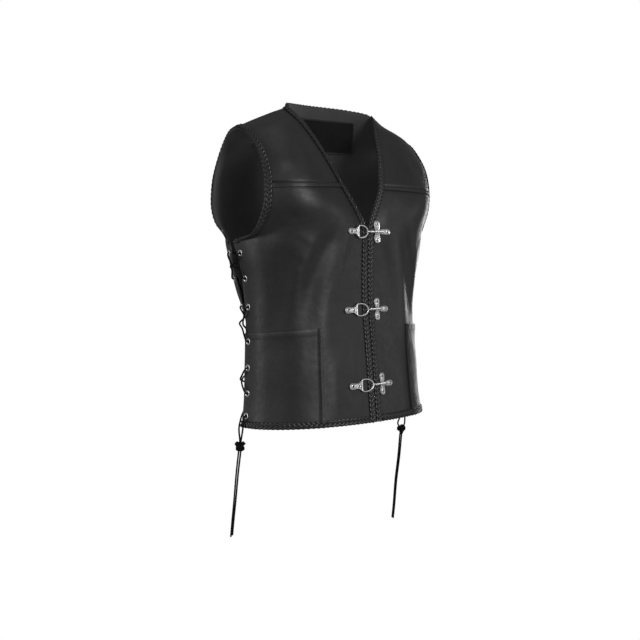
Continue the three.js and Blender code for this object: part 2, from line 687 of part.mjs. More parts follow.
// The neck facing, inside the back, runs between two of the back's rows.
const FACING_BOTTOM = -46;
const FACING_DOWN = 26; // from the neck edge to the facing's top
const FACING_THICK = 1.2;
const FACING_GAP = 0.4;
const FACING_COLUMN = { 12: 3.3, 13: 3.6, facing: 3.73, half: 3.17, under: 2.6, neck: 2.9 }; // where its ends lie
const outward = (u) => THREE.MathUtils.smoothstep(Math.abs(u), 3, COLUMNS - 1);
const facingBottomAt = (u) => back.rowAt(Math.min(Math.abs(u), 4), FACING_BOTTOM);
const facingTopAt = (u) => back.stepFrom(u, BACK_TOP_ROW, mix(FACING_DOWN, BAND_WIDTH, outward(u)), -1);
const neckAt = (u) => back.stepFrom(u, BACK_TOP_ROW, mix(BAND_WIDTH, BAND_WIDTH / 2, outward(u)), -1);
const backColumns = [...BACK_HALF.toReversed().map((c) => [c, -1]), [0, 1], ...BACK_HALF.map((c) => [c, 1])];
const backGrid = [0, "band", ...backRowsAt, "facing", "half", "under", "neck", "top"].map((r) =>
  backColumns.map(([column, side]) => {
    const level = { band: 0.2, facing: 13.8, half: 14.5, under: 15, neck: BACK_TOP_ROW - 0.25, top: BACK_TOP_ROW }[r] ?? r;
    const u = column === 3 ? (FACING_COLUMN[r] ?? 3) : backU(column, level);
    let at = level;
    if (r === "band") at = hemRow(back, u);
    if (r === "facing") at = facingBottomAt(u);
    if (r === "half") at = (facingBottomAt(u) + facingTopAt(u)) / 2;
    if (r === "under") at = facingTopAt(u);
    if (r === "neck") at = neckAt(u);
    const p = back.point(u, at);
    const n = back.bareNormal(u, at);
    return { p: vec(side * p.x, p.y, p.z), n: vec(side * n.x, n.y, n.z), u: side * u, r: at };
  }),
);
// Along the shoulder seam the normal stands up; round the neck it leans back.
for (const cell of backGrid.at(-1)) {
  const along = Math.abs(cell.u);
  const side = Math.sign(cell.u) || 1;
  const neckShare = THREE.MathUtils.smoothstep(3 - along, 0, 1.4);
  cell.n = vec(0.4 * side, 0, 0.917).lerp(vec(0.15 * side, 0.72, 0.68), neckShare).normalize();
  if (along >= 2.99) cell.p.y += seamShare;
}
const backEyelets = eyeletFrames(backGrid, () => 0);
const mirrorX = new THREE.Matrix4().makeScale(-1, 1, 1);
const bothSides = (frames) => [
  ...frames,
  ...frames.map((f) => ({ matrix: mirrorX.clone().multiply(f.matrix).multiply(mirrorX) })),
];
const backPanel = punch(wall(lifted(backGrid, 0), lifted(backGrid, -LEATHER)), bothSides(backEyelets));

// The braided band lies on the strip beside an edge. cells is a list of [edge place, inner place].
const BAND_PROFILE = [
  [1, 0],
  [0.93, 0.6],
  [0.5, 1],
  [0.1, 0.7],
  [0.03, 0],
];
function band(cells, base = () => SEAM_GAP) {
  const rows = cells.map(([edge, inner], i) =>
    BAND_PROFILE.map(([across, rise]) => {
      const share = Math.min(across, 1 - SEAM_GAP / BAND_WIDTH);
      const p = edge.p.clone().lerp(inner.p, share);
      const n = edge.n.clone().lerp(inner.n, Math.max(0, share)).normalize();
      return p.addScaledVector(n, base(i) + BAND_HEIGHT * rise);
    }),
  );
  const sides = BAND_PROFILE.length;
  const points = rows.flat();
  const triangles = [];
  for (let i = 0; i < rows.length - 1; i++)
    for (let k = 0; k < sides; k++) {
      const next = (k + 1) % sides;
      const [a, b, c, d] = [i * sides + k, i * sides + next, (i + 1) * sides + next, (i + 1) * sides + k];
      const under = next === 0 && fallsAlong(points[a], points[b], points[c], points[d], cells[i][0].n);
      if (next !== 0 || under) triangles.push([a, b, c], [a, c, d]);
      else triangles.push([a, b, d], [b, c, d]);
    }
  const end = (rows.length - 1) * sides;
  for (let k = 1; k < sides - 1; k++) {
    triangles.push([0, k + 1, k]);
    triangles.push([end, end + k, end + k + 1]);
  }
  return geometryOf(points, triangles);
}

const toward = (from, to, distance) => from.p.clone().lerp(to.p, distance / from.p.distanceTo(to.p));

const edgeCells = [...frontGrid, ...yokeGrid.slice(1)].map((row) => [row[0], row[1]]);
const frontBand = band(edgeCells);

// Both ends of a hem run stand clear of what they meet.
function hemRun(cells, gap) {
  const nudged = cells[0].map((cell, k) => ({ p: toward(cell, cells[1][k], gap), n: cell.n }));
  return [nudged, ...cells.slice(1)];
}
const column = (grid, j) => [grid[0][j], grid[1][j]];
const HEM_STEP = 4; // the band climbs onto the pocket over this much of the front
const beforePocket = column(frontGrid, POCKET_FIRST).map((cell, k) => {
  const inward = frontGrid[k][POCKET_FIRST - 1];
  return { p: toward(cell, inward, HEM_STEP), n: cell.n };
});
const onFront = [...Array(POCKET_FIRST).keys()].slice(1).map((j) => column(frontGrid, j));
const overPocket = [...pocketGrid[0].keys()].map((j) => column(pocketGrid, j));
const hemCells = hemRun([...onFront, beforePocket, ...overPocket], SEAM_GAP * 1.5);
const hemRise = (j) => {
  const k = j - onFront.length - 1;
  if (k < 0) return SEAM_GAP;
  return 2 * SEAM_GAP + LEATHER + (k < 2 ? POCKET_WELT : 0);
};
const frontHemBand = band(hemCells, hemRise);
const backHemBand = band([...backGrid[0].keys()].map((j) => column(backGrid, j)));

// The neck band turns at each neck point, so its ends lie along the shoulder seams.
const topRow = backGrid.at(-1);
const underRow = backGrid.at(-2);
const firstNeck = topRow.findIndex((cell) => Math.abs(cell.u) <= 3.001);
const lastNeck = topRow.length - 1 - firstNeck;
const neckTurn = (j, step) => {
  const seam = { p: toward(topRow[j], topRow[j + step], BAND_WIDTH), n: topRow[j].n };
  const corner = { p: toward(topRow[j], underRow[j + step], BAND_WIDTH), n: topRow[j].n };
  return [
    [topRow[j], seam],
    [topRow[j], corner],
  ];
};
const neckCells = [
  ...neckTurn(firstNeck, -1),
  ...topRow.slice(firstNeck, lastNeck + 1).map((cell, k) => [cell, underRow[firstNeck + k]]),
  ...neckTurn(lastNeck, 1).toReversed(),
];
const neckBand = band(neckCells);

const armRows = [...frontGrid, ...yokeGrid.slice(1)];
const firstArm = armRows.findIndex((row) => row[0].r === UNDERARM_ROW);
const bandPlace = (edge, inner) => {
  const p = toward(edge, inner, BAND_WIDTH);
  return { p, n: edge.n.clone().lerp(inner.n, BAND_WIDTH / edge.p.distanceTo(inner.p)).normalize() };
};
const armCells = [
  ...armRows.slice(firstArm).map((row) => [row.at(-1), bandPlace(row.at(-1), row.at(-2))]),
  ...backGrid
    .filter((row) => row[0].r >= UNDERARM_ROW)
    .toReversed()
    .slice(1)
    .map((row) => [row.at(-1), bandPlace(row.at(-1), row.at(-2))]),
];
const armBand = band(armCells);

const facingFirst = backGrid.length - 5;
const facingSide = BACK_HALF.indexOf(3) + 1;
const middleColumn = BACK_HALF.length;
const facingGrid = backGrid
  .slice(facingFirst, facingFirst + 3)
  .map((row) => row.slice(middleColumn - facingSide, middleColumn + facingSide + 1));
const facing = wall(lifted(facingGrid, -LEATHER - FACING_GAP), lifted(facingGrid, -LEATHER - FACING_GAP - FACING_THICK));

// One lace a side. Outside it crosses between the eyelets of each pair, and inside it climbs from pair to pair.
const LACE_SIDES = 5;
const LACE_REST = EYELET_SEAT + EYELET_METAL + LACE_R + 0.4; // the lace's middle above the leather at an eyelet
const OVER_BAND = BAND_HEIGHT + SEAM_GAP + LACE_R + 0.6; // and where it passes over the hem band
const CROSS_BOW = [3.5, 8]; // how far the two strands of a crossing bow outwards
const EDGE_CLEAR = LACE_R + 2.6; // the lace's middle above the leather where it passes the laced edge
const pairTops = [1, 3, 5]; // counted from the bottom eyelet
const RIM_CLEAR = 8; // from an eyelet's middle to where the lace has cleared its flange
const INSIDE_RUN = 9; // and on the inside, before it bridges to the next eyelet
const HEM_CLEAR = 25; // below the lowest eyelet, where the lace has passed the hem band
const BESIDE = 8; // between the two strands there, where the back's one has come over to the front's
const BESIDE_RISE = 3.8; // how much further off the leather it passes
function lacePath(fronts, backs, ends) {
  const outside = (f, height = LACE_REST) => f.p.clone().addScaledVector(f.n, height);
  const inside = (f) => f.p.clone().addScaledVector(f.n, -f.thick - LACE_REST);
  const flat = (f, other) => {
    const d = other.p.clone().sub(f.p);
    return d.addScaledVector(f.n, -d.dot(f.n)).normalize();
  };
  const leave = (f, other, distance, height) => outside(f, height).addScaledVector(flat(f, other), distance);
  const within = (f, other, distance) => inside(f).addScaledVector(flat(f, other), distance);
  const cross = (a, b, bow) => {
    const outward = a.n.clone().add(b.n).normalize();
    const past = (f, other) => (EYELET_INSET + 3) / Math.sqrt(1 - flat(f, other).dot(f.up) ** 2);
    const [from, to] = [leave(a, b, past(a, b), EDGE_CLEAR), leave(b, a, past(b, a), EDGE_CLEAR)];
    const middle = from.clone().lerp(to, 0.5).addScaledVector(outward, bow);
    return [inside(a), outside(a), from, middle, to, outside(b), inside(b)];
  };
  const climb = (low, high) => {
    const middle = low.p.clone().lerp(high.p, 0.5).addScaledVector(low.n, -low.thick - LACE_REST - 1.5);
    return [within(low, high, INSIDE_RUN), middle, within(high, low, INSIDE_RUN)];
  };
  const under = (f, distance) => outside(f, OVER_BAND).addScaledVector(f.up, -distance);
  const down = (f, near, clear, end) => [inside(f), outside(f), near, clear, end[1], end[0]];
  const strand = (startOnFront) => {
    const points = [];
    let [here, there] = startOnFront ? [fronts, backs] : [backs, fronts];
    points.push(...climb(here[0], here[1]));
    for (const low of pairTops) {
      if (low > 1) points.push(...climb(here[low - 1], here[low]));
      points.push(...cross(here[low], there[low + 1], CROSS_BOW[startOnFront ? 0 : 1]));
      [here, there] = [there, here];
    }
    const [top, opposite] = [here.at(-1), there.at(-1)];
    points.push(within(top, opposite, INSIDE_RUN));
    return points;
  };
  const [front, behind] = [fronts[0], backs[0]];
  const clear = under(front, HEM_CLEAR);
  const beside = clear.clone().addScaledVector(flat(front, behind), BESIDE).addScaledVector(front.n, BESIDE_RISE);
  const slant = outside(behind, OVER_BAND);
  slant.addScaledVector(beside.clone().sub(slant).normalize(), RIM_CLEAR);
  const first = [...down(front, under(front, RIM_CLEAR), clear, ends[0]).toReversed(), ...strand(true)];
  const second = [...down(behind, slant, beside, ends[1]).toReversed(), ...strand(false)];
  return [...first, ...second.toReversed()];
}

const KNOT_R = 10;
const KNOT_GAP = 0.9;
const KNOTS = {
  left: { knot: [220, 6, -671], end: [194, 6, -872] },
  right: { knot: [213, 27, -660], end: [235, 27, -840] },
};

// A round knot of three wraps: a ball with lobes.
function knotGeometry() {
  const ball = new THREE.IcosahedronGeometry(KNOT_R, 2);
  ball.deleteAttribute("normal");
  ball.deleteAttribute("uv");
  const merged = mergeVertices(ball, 1e-3);
  const at = merged.attributes.position;
  for (let i = 0; i < at.count; i++) {
    const p = vec(at.getX(i), at.getY(i), at.getZ(i));
    const angle = Math.atan2(p.y, p.x);
    const lobes = Math.cos(3 * angle + p.z * 0.35) * 0.07 + Math.cos(p.z * 0.9 + angle) * 0.05;
    p.multiplyScalar(1 + lobes);
    at.setXYZ(i, p.x, p.y, p.z * 0.95);
  }
  return merged;
}

// Clasps. Each half is flat and rests on its front and on the edge band. Its own x runs out from the centre front,
// its y runs up and its z off the leather.
const CLASP_METAL = 2.2;
const RING_WIRE_R = 1.6;
const RING_TIP_X = 3; // from the centre front to the ring's tip, where the hook takes hold
const HOOK_REACH = 52; // how far each half reaches from the centre front
const RING_REACH = 60;
const HOOK_WIRE_R = 1.2;
const HOOK_PLAY = 0.45;
// Each half's outline, as boxes of x and y that have to clear the leather.
const HOOK_BOXES = [
  [12, HOOK_REACH, 7],
  [13, 27, 23],
];
const RING_BOXES = [
  [5, 31, 13],
  [31, RING_REACH, 7],
];
function claspFrame(z, rest, reach, boxes) {
  const place = (x, height) => {
    const r = front.rowAt(0, height);
    const u = front.fromCentre(r, x);
    return { p: front.point(u, r), n: front.bareNormal(u, r) };
  };
  const [near, far] = [place(0, z), place(reach, z)];
  const along = far.p.clone().sub(near.p).normalize();
  const slope = (BAND_HEIGHT - SEAM_GAP) / reach;
  const n = near.n.clone().add(far.n).normalize();
  along.addScaledVector(n, -slope).normalize();
  n.addScaledVector(along, -n.dot(along)).normalize();
  const y = n.clone().cross(along);
  let raise = 0;
  for (const [from, to, high] of boxes)
    for (let i = 0; i <= 8; i++)
      for (let j = -4; j <= 4; j++) {
        const x = mix(from, to, i / 8);
        const at = place(x, z + (high * j) / 4);
        const cover = x < BAND_WIDTH + 3 ? SEAM_GAP + BAND_HEIGHT : 0;
        raise = Math.max(raise, at.p.sub(near.p).dot(n) + cover);
      }
  return new THREE.Matrix4().makeBasis(along, y, n).setPosition(near.p.addScaledVector(n, raise + rest));
}

function plate(outline, holes, thickness) {
  const shape = new THREE.Shape(outline.map(([x, y]) => new THREE.Vector2(x, y)));
  for (const hole of holes) shape.holes.push(new THREE.Path(hole.map(([x, y]) => new THREE.Vector2(x, y))));
  return solidOf(new THREE.ExtrudeGeometry(shape, { depth: thickness, bevelEnabled: false }));
}
const circle = (x, y, r, sides) =>
  Array.from({ length: sides }, (_, k) => {
    const angle = (2 * Math.PI * k) / sides;
    return [x + r * Math.cos(angle), y + r * Math.sin(angle)];
  });

function ringPart() {
  const lug = [
    [28.6, -9.6],
    [32.5, -8.8],
    [36, -6.4],
    [42, -5.4],
    [50, -6.2],
    [56, -6],
    [59, -3.6],
    [RING_REACH, 0],
    [59, 3.6],
    [56, 6],
    [50, 6.2],
    [42, 5.4],
    [36, 6.4],
    [32.5, 8.8],
    [28.6, 9.6],
  ];
  const slot = [
    [49.4, -1.9],
    [53.4, -1.9],
    [54.8, 0],
    [53.4, 1.9],
    [49.4, 1.9],
    [48, 0],
  ];
  const half = [
    [30, 8.8],
    [26.5, 11.6],
    [20, 12.1],
    [12.6, 10.8],
    [6.4, 7],
    [RING_TIP_X, 2.4],
  ];
  const loop = [...half, ...half.toReversed().map(([x, y]) => [x, -y])];
  const path = loop.map(([x, y]) => vec(x, y, RING_WIRE_R));
  return geometryFrom(plate(lug, [slot], CLASP_METAL).add(solidOf(closedTube(path, RING_WIRE_R, 6))));
}

// bar is the middle of the ring's bar, as the hook's half has it.
function hookPart(bar) {
  const petal = [
    [3.4, 4.4],
    [6.2, 9],
    [7.1, 14],
    [5.6, 19.6],
    [0, 22.5],
  ];
  const cx = 19.5;
  const upper = [...petal, ...petal.slice(0, -1).toReversed().map(([x, y]) => [-x, y])];
  const right = [
    [8, -4],
    [15, -5.2],
    [23, -6],
    [29, -5],
    [HOOK_REACH - cx, 0],
    [29, 5],
    [23, 6],
    [15, 5.2],
    [8, 4],
  ];
  const outline = [...right, ...upper, [-8, 2.6], [-8, -2.6], ...upper.toReversed().map(([x, y]) => [x, -y])];
  const holes = [circle(cx, 15, 2, 8), circle(cx, -15, 2, 8), circle(cx + 24.5, 0, 2, 8)];
  const cross = plate(outline.map(([x, y]) => [x + cx, y]), holes, CLASP_METAL);
  const reachOver = RING_WIRE_R + HOOK_PLAY + HOOK_WIRE_R;
  const over = bar.z + reachOver;
  const tip = bar.x - reachOver;
  const arm = [
    [18, CLASP_METAL - 0.4],
    [13, CLASP_METAL - 0.2],
    [6, over - 1],
    [bar.x + 4, over + 0.2],
    [bar.x, over + 0.2],
    [tip + 0.9, over - 0.9],
    [tip, bar.z],
    [tip + 0.1, bar.z - 0.7],
  ].map(([x, z]) => vec(x, 0, z));
  return geometryFrom(cross.add(solidOf(tube(arm, HOOK_WIRE_R, 6))));
}

const group = new THREE.Group();
const FINISH = {
  leather: { color: 0x2b2b2c, roughness: 0.48, metalness: 0 },
  band: { color: 0x1e1e1f, roughness: 0.55, metalness: 0 },
  lace: { color: 0x101010, roughness: 0.6, metalness: 0 },
  metal: { color: 0xc6c7c9, roughness: 0.28, metalness: 1 },
};
function add(name, geometry, material) {
  const mesh = new THREE.Mesh(geometry, new THREE.MeshStandardMaterial(FINISH[material]));
  mesh.name = name;
  group.add(mesh);
}
function addPair(name, geometry, material) {
  add(`${name}_left`, geometry, material);
  add(`${name}_right`, mirror(geometry), material);
}

add("back_panel", backPanel, "leather");
addPair("front_panel", frontPanel, "leather");
addPair("yoke", yoke, "leather");
addPair("pocket", pocket, "leather");
add("neck_facing", facing, "leather");
addPair("edge_band", frontBand, "band");
addPair("hem_band", frontHemBand, "band");
addPair("armhole_band", armBand, "band");
add("back_hem_band", backHemBand, "band");
add("neck_band", neckBand, "band");

[
  ["front", frontEyelets],
  ["back", backEyelets],
].forEach(([where, frames]) =>
  frames.forEach((frame, k) => {
    const ring = eyeletGeometry(frame.thick).applyMatrix4(frame.matrix);
    addPair(`eyelet_${where}_${k + 1}`, ring, "metal");
  }),
);

const ballOf = (middle) => new THREE.Mesh(knotGeometry().translate(...middle.toArray()), new THREE.MeshBasicMaterial());
// A place just off the knot, out from its middle, and one a little further the same way.
function offKnot(ball, middle, direction) {
  ball.material.side = THREE.DoubleSide;
  const ray = new THREE.Raycaster(middle, direction.clone().normalize());
  const skin = ray.intersectObject(ball)[0].distance;
  return [KNOT_GAP, KNOT_GAP + 4].map((gap) => ray.ray.at(skin + gap, vec(0, 0, 0)));
}

for (const [side, place] of Object.entries(KNOTS)) {
  const knot = vec(...place.knot);
  const end = vec(...place.end);
  const fall = end.clone().sub(knot).normalize();
  const ball = ballOf(knot);
  const tops = [vec(2, -5, 9), vec(-3, 5, 9)].map((way) => offKnot(ball, knot, way));
  const path = lacePath(frontEyelets, backEyelets, tops);
  const pieces = { lace: [tube(path, LACE_R, LACE_SIDES), "lace"], knot: [ball.geometry, "lace"] };
  [-1, 1].forEach((way, k) => {
    const by = vec(2.1 * way, 1.2 * way, 0);
    const start = offKnot(ball, knot, fall.clone().multiplyScalar(KNOT_R).add(by.clone().multiplyScalar(1.6)));
    const finish = end.clone().add(by).addScaledVector(fall, way * 3);
    const points = [start[0], start[1], start[1].clone().lerp(finish, 0.5), finish];
    pieces[`lace_end_${k + 1}`] = [tube(points, LACE_R, LACE_SIDES), "lace"];
  });
  for (const [name, [geometry, material]] of Object.entries(pieces))
    add(`${name}_${side}`, side === "left" ? geometry : mirror(geometry), material);
}

CLASPS.forEach((clasp, k) => {
  const hookFrame = claspFrame(clasp.z, clasp.hookRest, HOOK_REACH, HOOK_BOXES);
  const ringFrame = claspFrame(clasp.z, clasp.ringRest, RING_REACH, RING_BOXES);
  const bar = vec(RING_TIP_X, 0, RING_WIRE_R).applyMatrix4(ringFrame);
  bar.x = -bar.x;
  bar.applyMatrix4(hookFrame.clone().invert());
  add(`clasp_hook_${k + 1}`, hookPart(bar).applyMatrix4(hookFrame), "metal");
  add(`clasp_ring_${k + 1}`, mirror(ringPart().applyMatrix4(ringFrame)), "metal");
});

export default group;
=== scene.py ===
"""A man's black leather vest: hide panels, braided edges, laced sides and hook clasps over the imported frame.

Sizes are in millimetres and mesh_piece turns them to metres. +X is the wearer's left, -Y the front, +Z up.
"""

import math

import bpy
import numpy as np
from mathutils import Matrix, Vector


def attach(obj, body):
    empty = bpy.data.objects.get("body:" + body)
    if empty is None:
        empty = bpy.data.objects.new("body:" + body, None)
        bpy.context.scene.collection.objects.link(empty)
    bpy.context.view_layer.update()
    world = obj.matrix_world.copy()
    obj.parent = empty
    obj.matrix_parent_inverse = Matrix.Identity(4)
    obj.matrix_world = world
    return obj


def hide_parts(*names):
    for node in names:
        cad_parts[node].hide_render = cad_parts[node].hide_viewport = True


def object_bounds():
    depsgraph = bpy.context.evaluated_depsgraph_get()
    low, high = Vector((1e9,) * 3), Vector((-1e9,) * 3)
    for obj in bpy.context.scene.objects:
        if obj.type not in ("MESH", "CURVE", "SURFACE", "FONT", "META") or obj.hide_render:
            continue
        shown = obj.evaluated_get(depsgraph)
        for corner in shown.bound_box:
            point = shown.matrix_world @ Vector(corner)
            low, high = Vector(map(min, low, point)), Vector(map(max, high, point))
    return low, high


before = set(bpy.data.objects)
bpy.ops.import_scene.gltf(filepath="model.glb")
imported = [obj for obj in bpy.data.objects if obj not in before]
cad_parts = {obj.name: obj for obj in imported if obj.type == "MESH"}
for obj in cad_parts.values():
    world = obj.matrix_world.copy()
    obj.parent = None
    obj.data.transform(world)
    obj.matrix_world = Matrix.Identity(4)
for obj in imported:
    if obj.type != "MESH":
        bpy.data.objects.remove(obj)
cad_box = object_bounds()

MM = 0.001
LEFT, RIGHT = 1, -1
SIDES = {"left": LEFT, "right": RIGHT}

# The camera stands where the photograph was taken from, a little to the wearer's right and level with the hem.
CAMERA_AT = (-1.32513, -1.5718, -0.27895)
CAMERA_TURN = 0.6907
CAMERA_DIP = 0.0644
CAMERA_LENS = 54.617

# Leather and seams
LEATHER = 2.0
SEAM_GAP = 0.3
CENTRE_GAP = 3.2
COLUMNS = 7
SECTION_POWER = 2.3
CHEST_POWER = 3
YOKE_ROW = 11
UNDERARM_ROW = 7
EASED_ROWS = (7, 8, 9, 8)

# Braid
BAND_WIDTH = 14
BAND_HEIGHT = 3.1
BRAID_PERIOD = 28  # one strand's way across and back
STRAND_HALF_WIDTH = 2.75
STRAND_HALF_THICK = 0.92

# Side lacing
LACE_STRIP = 26
EYELET_INSET = 13
EYELET_HEIGHTS = [-596, -551, -500, -447, -378, -321, -270]
EYELET_SEAT = 0.5
EYELET_METAL = 1.1
EYELET_HOLE_R = 3.6
EYELET_FLANGE_R = 7.0
PUNCH_R = 5.3
LACE_R = 1.8

# Pocket and yoke
POCKET_MOUTH = -418
POCKET_MOUTH_SIDE = -431
POCKET_SEAM_ARC = 113
WELT_WIDTH = 9
POCKET_WELT = 1.2
YOKE_WELT = 1.6
POCKET_GAPE = 2.2

# Height, half width, depth, swell of the chest, laced edge behind the side line, drop of the row at the side.
FRONT_SECTIONS = [
    (-610, 217, 147, 0, 14, 9),
    (-560, 210, 141, 0, 16, 8),
    (-500, 206, 135, 0, 19, 6),
    (-440, 204, 128, 0, 20, 4),
    (-380, 205, 121, 2, 21, 3),
    (-320, 212, 119, 6, 22, 1),
    (-280, 220, 119, 10, 24, -2),
    (-254, 227, 119, 13, 31, -5),
]
BACK_SECTIONS = [
    (-610, 198, 118, 0, 40, 9),
    (-560, 193, 114, 0, 39, 8),
    (-500, 188, 112, 0, 38, 6),
    (-440, 188, 117, 0, 38, 4),
    (-390, 197, 129, 0, 39, 2),
    (-350, 209, 143, 2, 40, 0),
    (-300, 222, 153, 5, 41, -2),
    (-254, 231, 158, 9, 42, -3),
]
# Points on the neck edge, in the middle and on the armhole edge of each higher row of a front.
FRONT_UPPER = [
    ((1.6, -118, -232), (119, -124, -231), (227, -34, -234)),
    ((7, -115, -208), (121, -129, -207), (222, -57, -204)),
    ((23, -110, -180), (125, -131, -179), (221, -69, -176)),
    ((46, -100, -139), (131, -123, -143), (221, -72, -146)),
    ((58, -87, -108), (138, -110, -112), (221, -69, -115)),
    ((72, -69, -69), (146, -90, -78), (222, -59, -88)),
    ((86, -46, -30), (154, -62, -42), (223, -40, -61)),
    ((98, -28, -3), (162, -34, -14), (226, -12, -36)),
    ((112, -3, 25), (170, 6, 2), (228, 14, -24)),
]
# The same for the back, from its centre.
BACK_UPPER = [
    ((0, 160, -235), (118, 155, -233), (221, 69, -229)),
    ((0, 161, -212), (116, 158, -210), (226, 89, -208)),
    ((0, 161, -180), (114, 158, -178), (230, 97, -179)),
    ((0, 157, -150), (112, 156, -148), (232, 94, -149)),
    ((0, 149, -115), (112, 150, -114), (233, 86, -119)),
    ((0, 136, -78), (112, 131, -80), (228, 78, -85)),
    ((0, 117, -38), (112, 98, -46), (222, 66, -50)),
    ((0, 95, 3), (112, 52, -8), (226, 41, -31)),
]
BACK_TOP = [(0, 66, 44), (42, 59, 43), (84, 36, 38), (112, -3, 25), (151, 3, 10), (190, 9, -8), (228, 14, -24)]

# Folds: start, end (distance from the centre line, height), sideways bow, width, rise.
FRONT_FOLDS = [
    ((50, -205), (110, -470), -16, 20, 4.5),
    ((92, -215), (142, -400), -10, 18, -4.0),
    ((124, -235), (165, -390), -12, 16, 3.2),
    ((190, -255), (178, -395), 8, 13, -3.0),
    ((208, -285), (197, -415), 5, 8, 2.0),
    ((36, -420), (58, -590), 6, 20, -2.6),
    ((90, -480), (96, -600), 0, 15, 2.2),
    ((150, -60), (198, -128), 10, 18, -2.4),
]
BACK_FOLDS = [
    ((0, -90), (0, -330), 0, 26, -3.0),
    ((90, -230), (57, -470), 14, 22, 4.0),
    ((134, -240), (101, -440), 12, 18, -3.6),
    ((172, -250), (132, -430), 14, 16, 3.4),
    ((202, -265), (166, -420), 8, 12, -2.6),
    ((108, -470), (116, -600), 0, 20, 2.6),
    ((50, -455), (46, -590), 0, 20, -2.4),
]
# Finer creases that a worn hide takes between its folds, uneven and different on the two sides.
FRONT_CREASES = {
    RIGHT: [
        ((62, -232), (72, -330), -6, 5, 1.0),
        ((84, -300), (112, -392), -5, 6, -0.9),
        ((178, -228), (132, -262), 4, 7, 0.9),
        ((186, -262), (150, -300), -3, 6, -0.8),
        ((30, -300), (52, -372), 3, 6, 0.7),
        ((150, -440), (172, -560), 5, 9, 0.8),
        ((70, -540), (40, -600), -4, 8, 0.7),
        ((196, -170), (168, -214), -5, 9, -1.0),
    ],
    LEFT: [
        ((48, -240), (66, -342), -5, 6, 0.9),
        ((96, -286), (104, -380), 6, 6, -0.8),
        ((184, -236), (146, -284), 5, 7, 1.0),
        ((26, -330), (60, -400), -3, 6, 0.7),
        ((140, -450), (156, -548), -6, 9, 0.8),
        ((64, -500), (88, -590), 4, 8, -0.7),
        ((198, -160), (174, -206), 4, 9, -0.9),
    ],
}
BACK_CREASES = [
    ((28, -250), (20, -360), 4, 7, 0.9),
    ((70, -300), (44, -400), -5, 7, -0.9),
    ((150, -268), (112, -352), 5, 7, 0.9),
    ((184, -300), (150, -380), -4, 6, -0.8),
    ((76, -470), (84, -560), 3, 9, 0.8),
    ((186, -170), (150, -214), -5, 9, -0.9),
    ((40, -60), (66, -120), 4, 10, 0.7),
]


def unit(v):
    return v / np.linalg.norm(v, axis=-1, keepdims=True)


def smooth(x, low, high):
    t = np.clip((np.asarray(x, float) - low) / (high - low), 0, 1)
    return t * t * (3 - 2 * t)


def mix(a, b, t):
    return a + (b - a) * t


def arc(points):
    """Distance along a line of points to each of them."""
    steps = np.linalg.norm(np.diff(points, axis=0), axis=1)
    return np.concatenate([[0], np.cumsum(steps)])


def at_arc(points, distances):
    return at_arc_of(points, arc(points), distances)


def at_arc_of(values, along, distances):
    """Vectors known at some distances along a line, at other distances."""
    return np.stack([np.interp(distances, along, values[:, k]) for k in range(values.shape[1])], axis=1)


def evenly(points, count):
    return at_arc(points, np.linspace(0, arc(points)[-1], count))


def curve_at(pick, count, t):
    """Places at t along smooth curves of count points; pick(i) gives point i of each curve."""
    i = np.clip(np.floor(t).astype(int), 0, count - 2)
    near, far = pick(i), pick(i + 1)
    spread = (...,) + (None,) * (near.ndim - i.ndim)
    before = np.where((i == 0)[spread], 2 * near - far, pick(np.maximum(i - 1, 0)))
    after = np.where((i == count - 2)[spread], 2 * far - near, pick(np.minimum(i + 2, count - 1)))

    def gap(a, b):
        return np.maximum(((a - b) ** 2).sum(-1, keepdims=True), 1e-9) ** 0.25

    d0, d1, d2 = gap(before, near), gap(near, far), gap(far, after)
    leave = ((near - before) / d0 - (far - before) / (d0 + d1) + (far - near) / d1) * d1
    arrive = ((far - near) / d1 - (after - near) / (d1 + d2) + (after - far) / d2) * d1
    w = (t - i)[spread]
    bend = -3 * near + 3 * far - 2 * leave - arrive
    return near + w * leave + w**2 * bend + w**3 * (2 * near - 2 * far + leave + arrive)


def rounded(points, step):
    """A smooth line through points, with a place about every step."""
    points = np.array(points, float)
    fine = curve_at(points.__getitem__, len(points), np.linspace(0, len(points) - 1, 24 * len(points)))
    return evenly(fine, max(2, round(arc(fine)[-1] / step)))


def bisect(is_low, low, high):
    low, high = np.array(low, float), np.array(high, float)
    for _ in range(24):
        middle = (low + high) / 2
        under = is_low(middle)
        low = np.where(under, middle, low)
        high = np.where(under, high, middle)
    return (low + high) / 2


def section_row(row, side, start):
    """A ring section from the centre line round to the laced edge, as seven even points."""
    z, wide, deep, swell, edge, drop = row
    first = math.asin((start / wide) ** (SECTION_POWER / 2))
    turn = math.acos((edge / deep) ** (SECTION_POWER / 2))
    share = np.linspace(0, 1, 61)
    angle = mix(first, math.pi - turn if side < 0 else turn, share)

    def squared_off(v):
        return np.sign(v) * np.abs(v) ** (2 / SECTION_POWER)

    depth = deep * squared_off(np.cos(angle)) + swell * np.sin(np.pi * np.minimum(1, share / 0.85))
    points = np.stack([wide * squared_off(np.sin(angle)), side * depth, z - drop * share**2], axis=1)
    return evenly(points, COLUMNS)


def front_upper_row(row):
    """A flat chest that turns back ever faster to the arm, through a row's three points."""
    neck, middle, arm = np.array(row, float)
    share = (middle[0] - neck[0]) / (arm[0] - neck[0])
    along = np.linspace(0, 1, 41)
    points = [mix(neck[0], arm[0], along)]
    for axis, power in ((1, CHEST_POWER), (2, 2)):
        to_middle, to_arm = middle[axis] - neck[axis], arm[axis] - neck[axis]
        bend = (to_arm * share - to_middle) / (share - share**power)
        points.append(neck[axis] + (to_arm - bend) * along + bend * along**power)
    return evenly(np.stack(points, axis=1), COLUMNS)


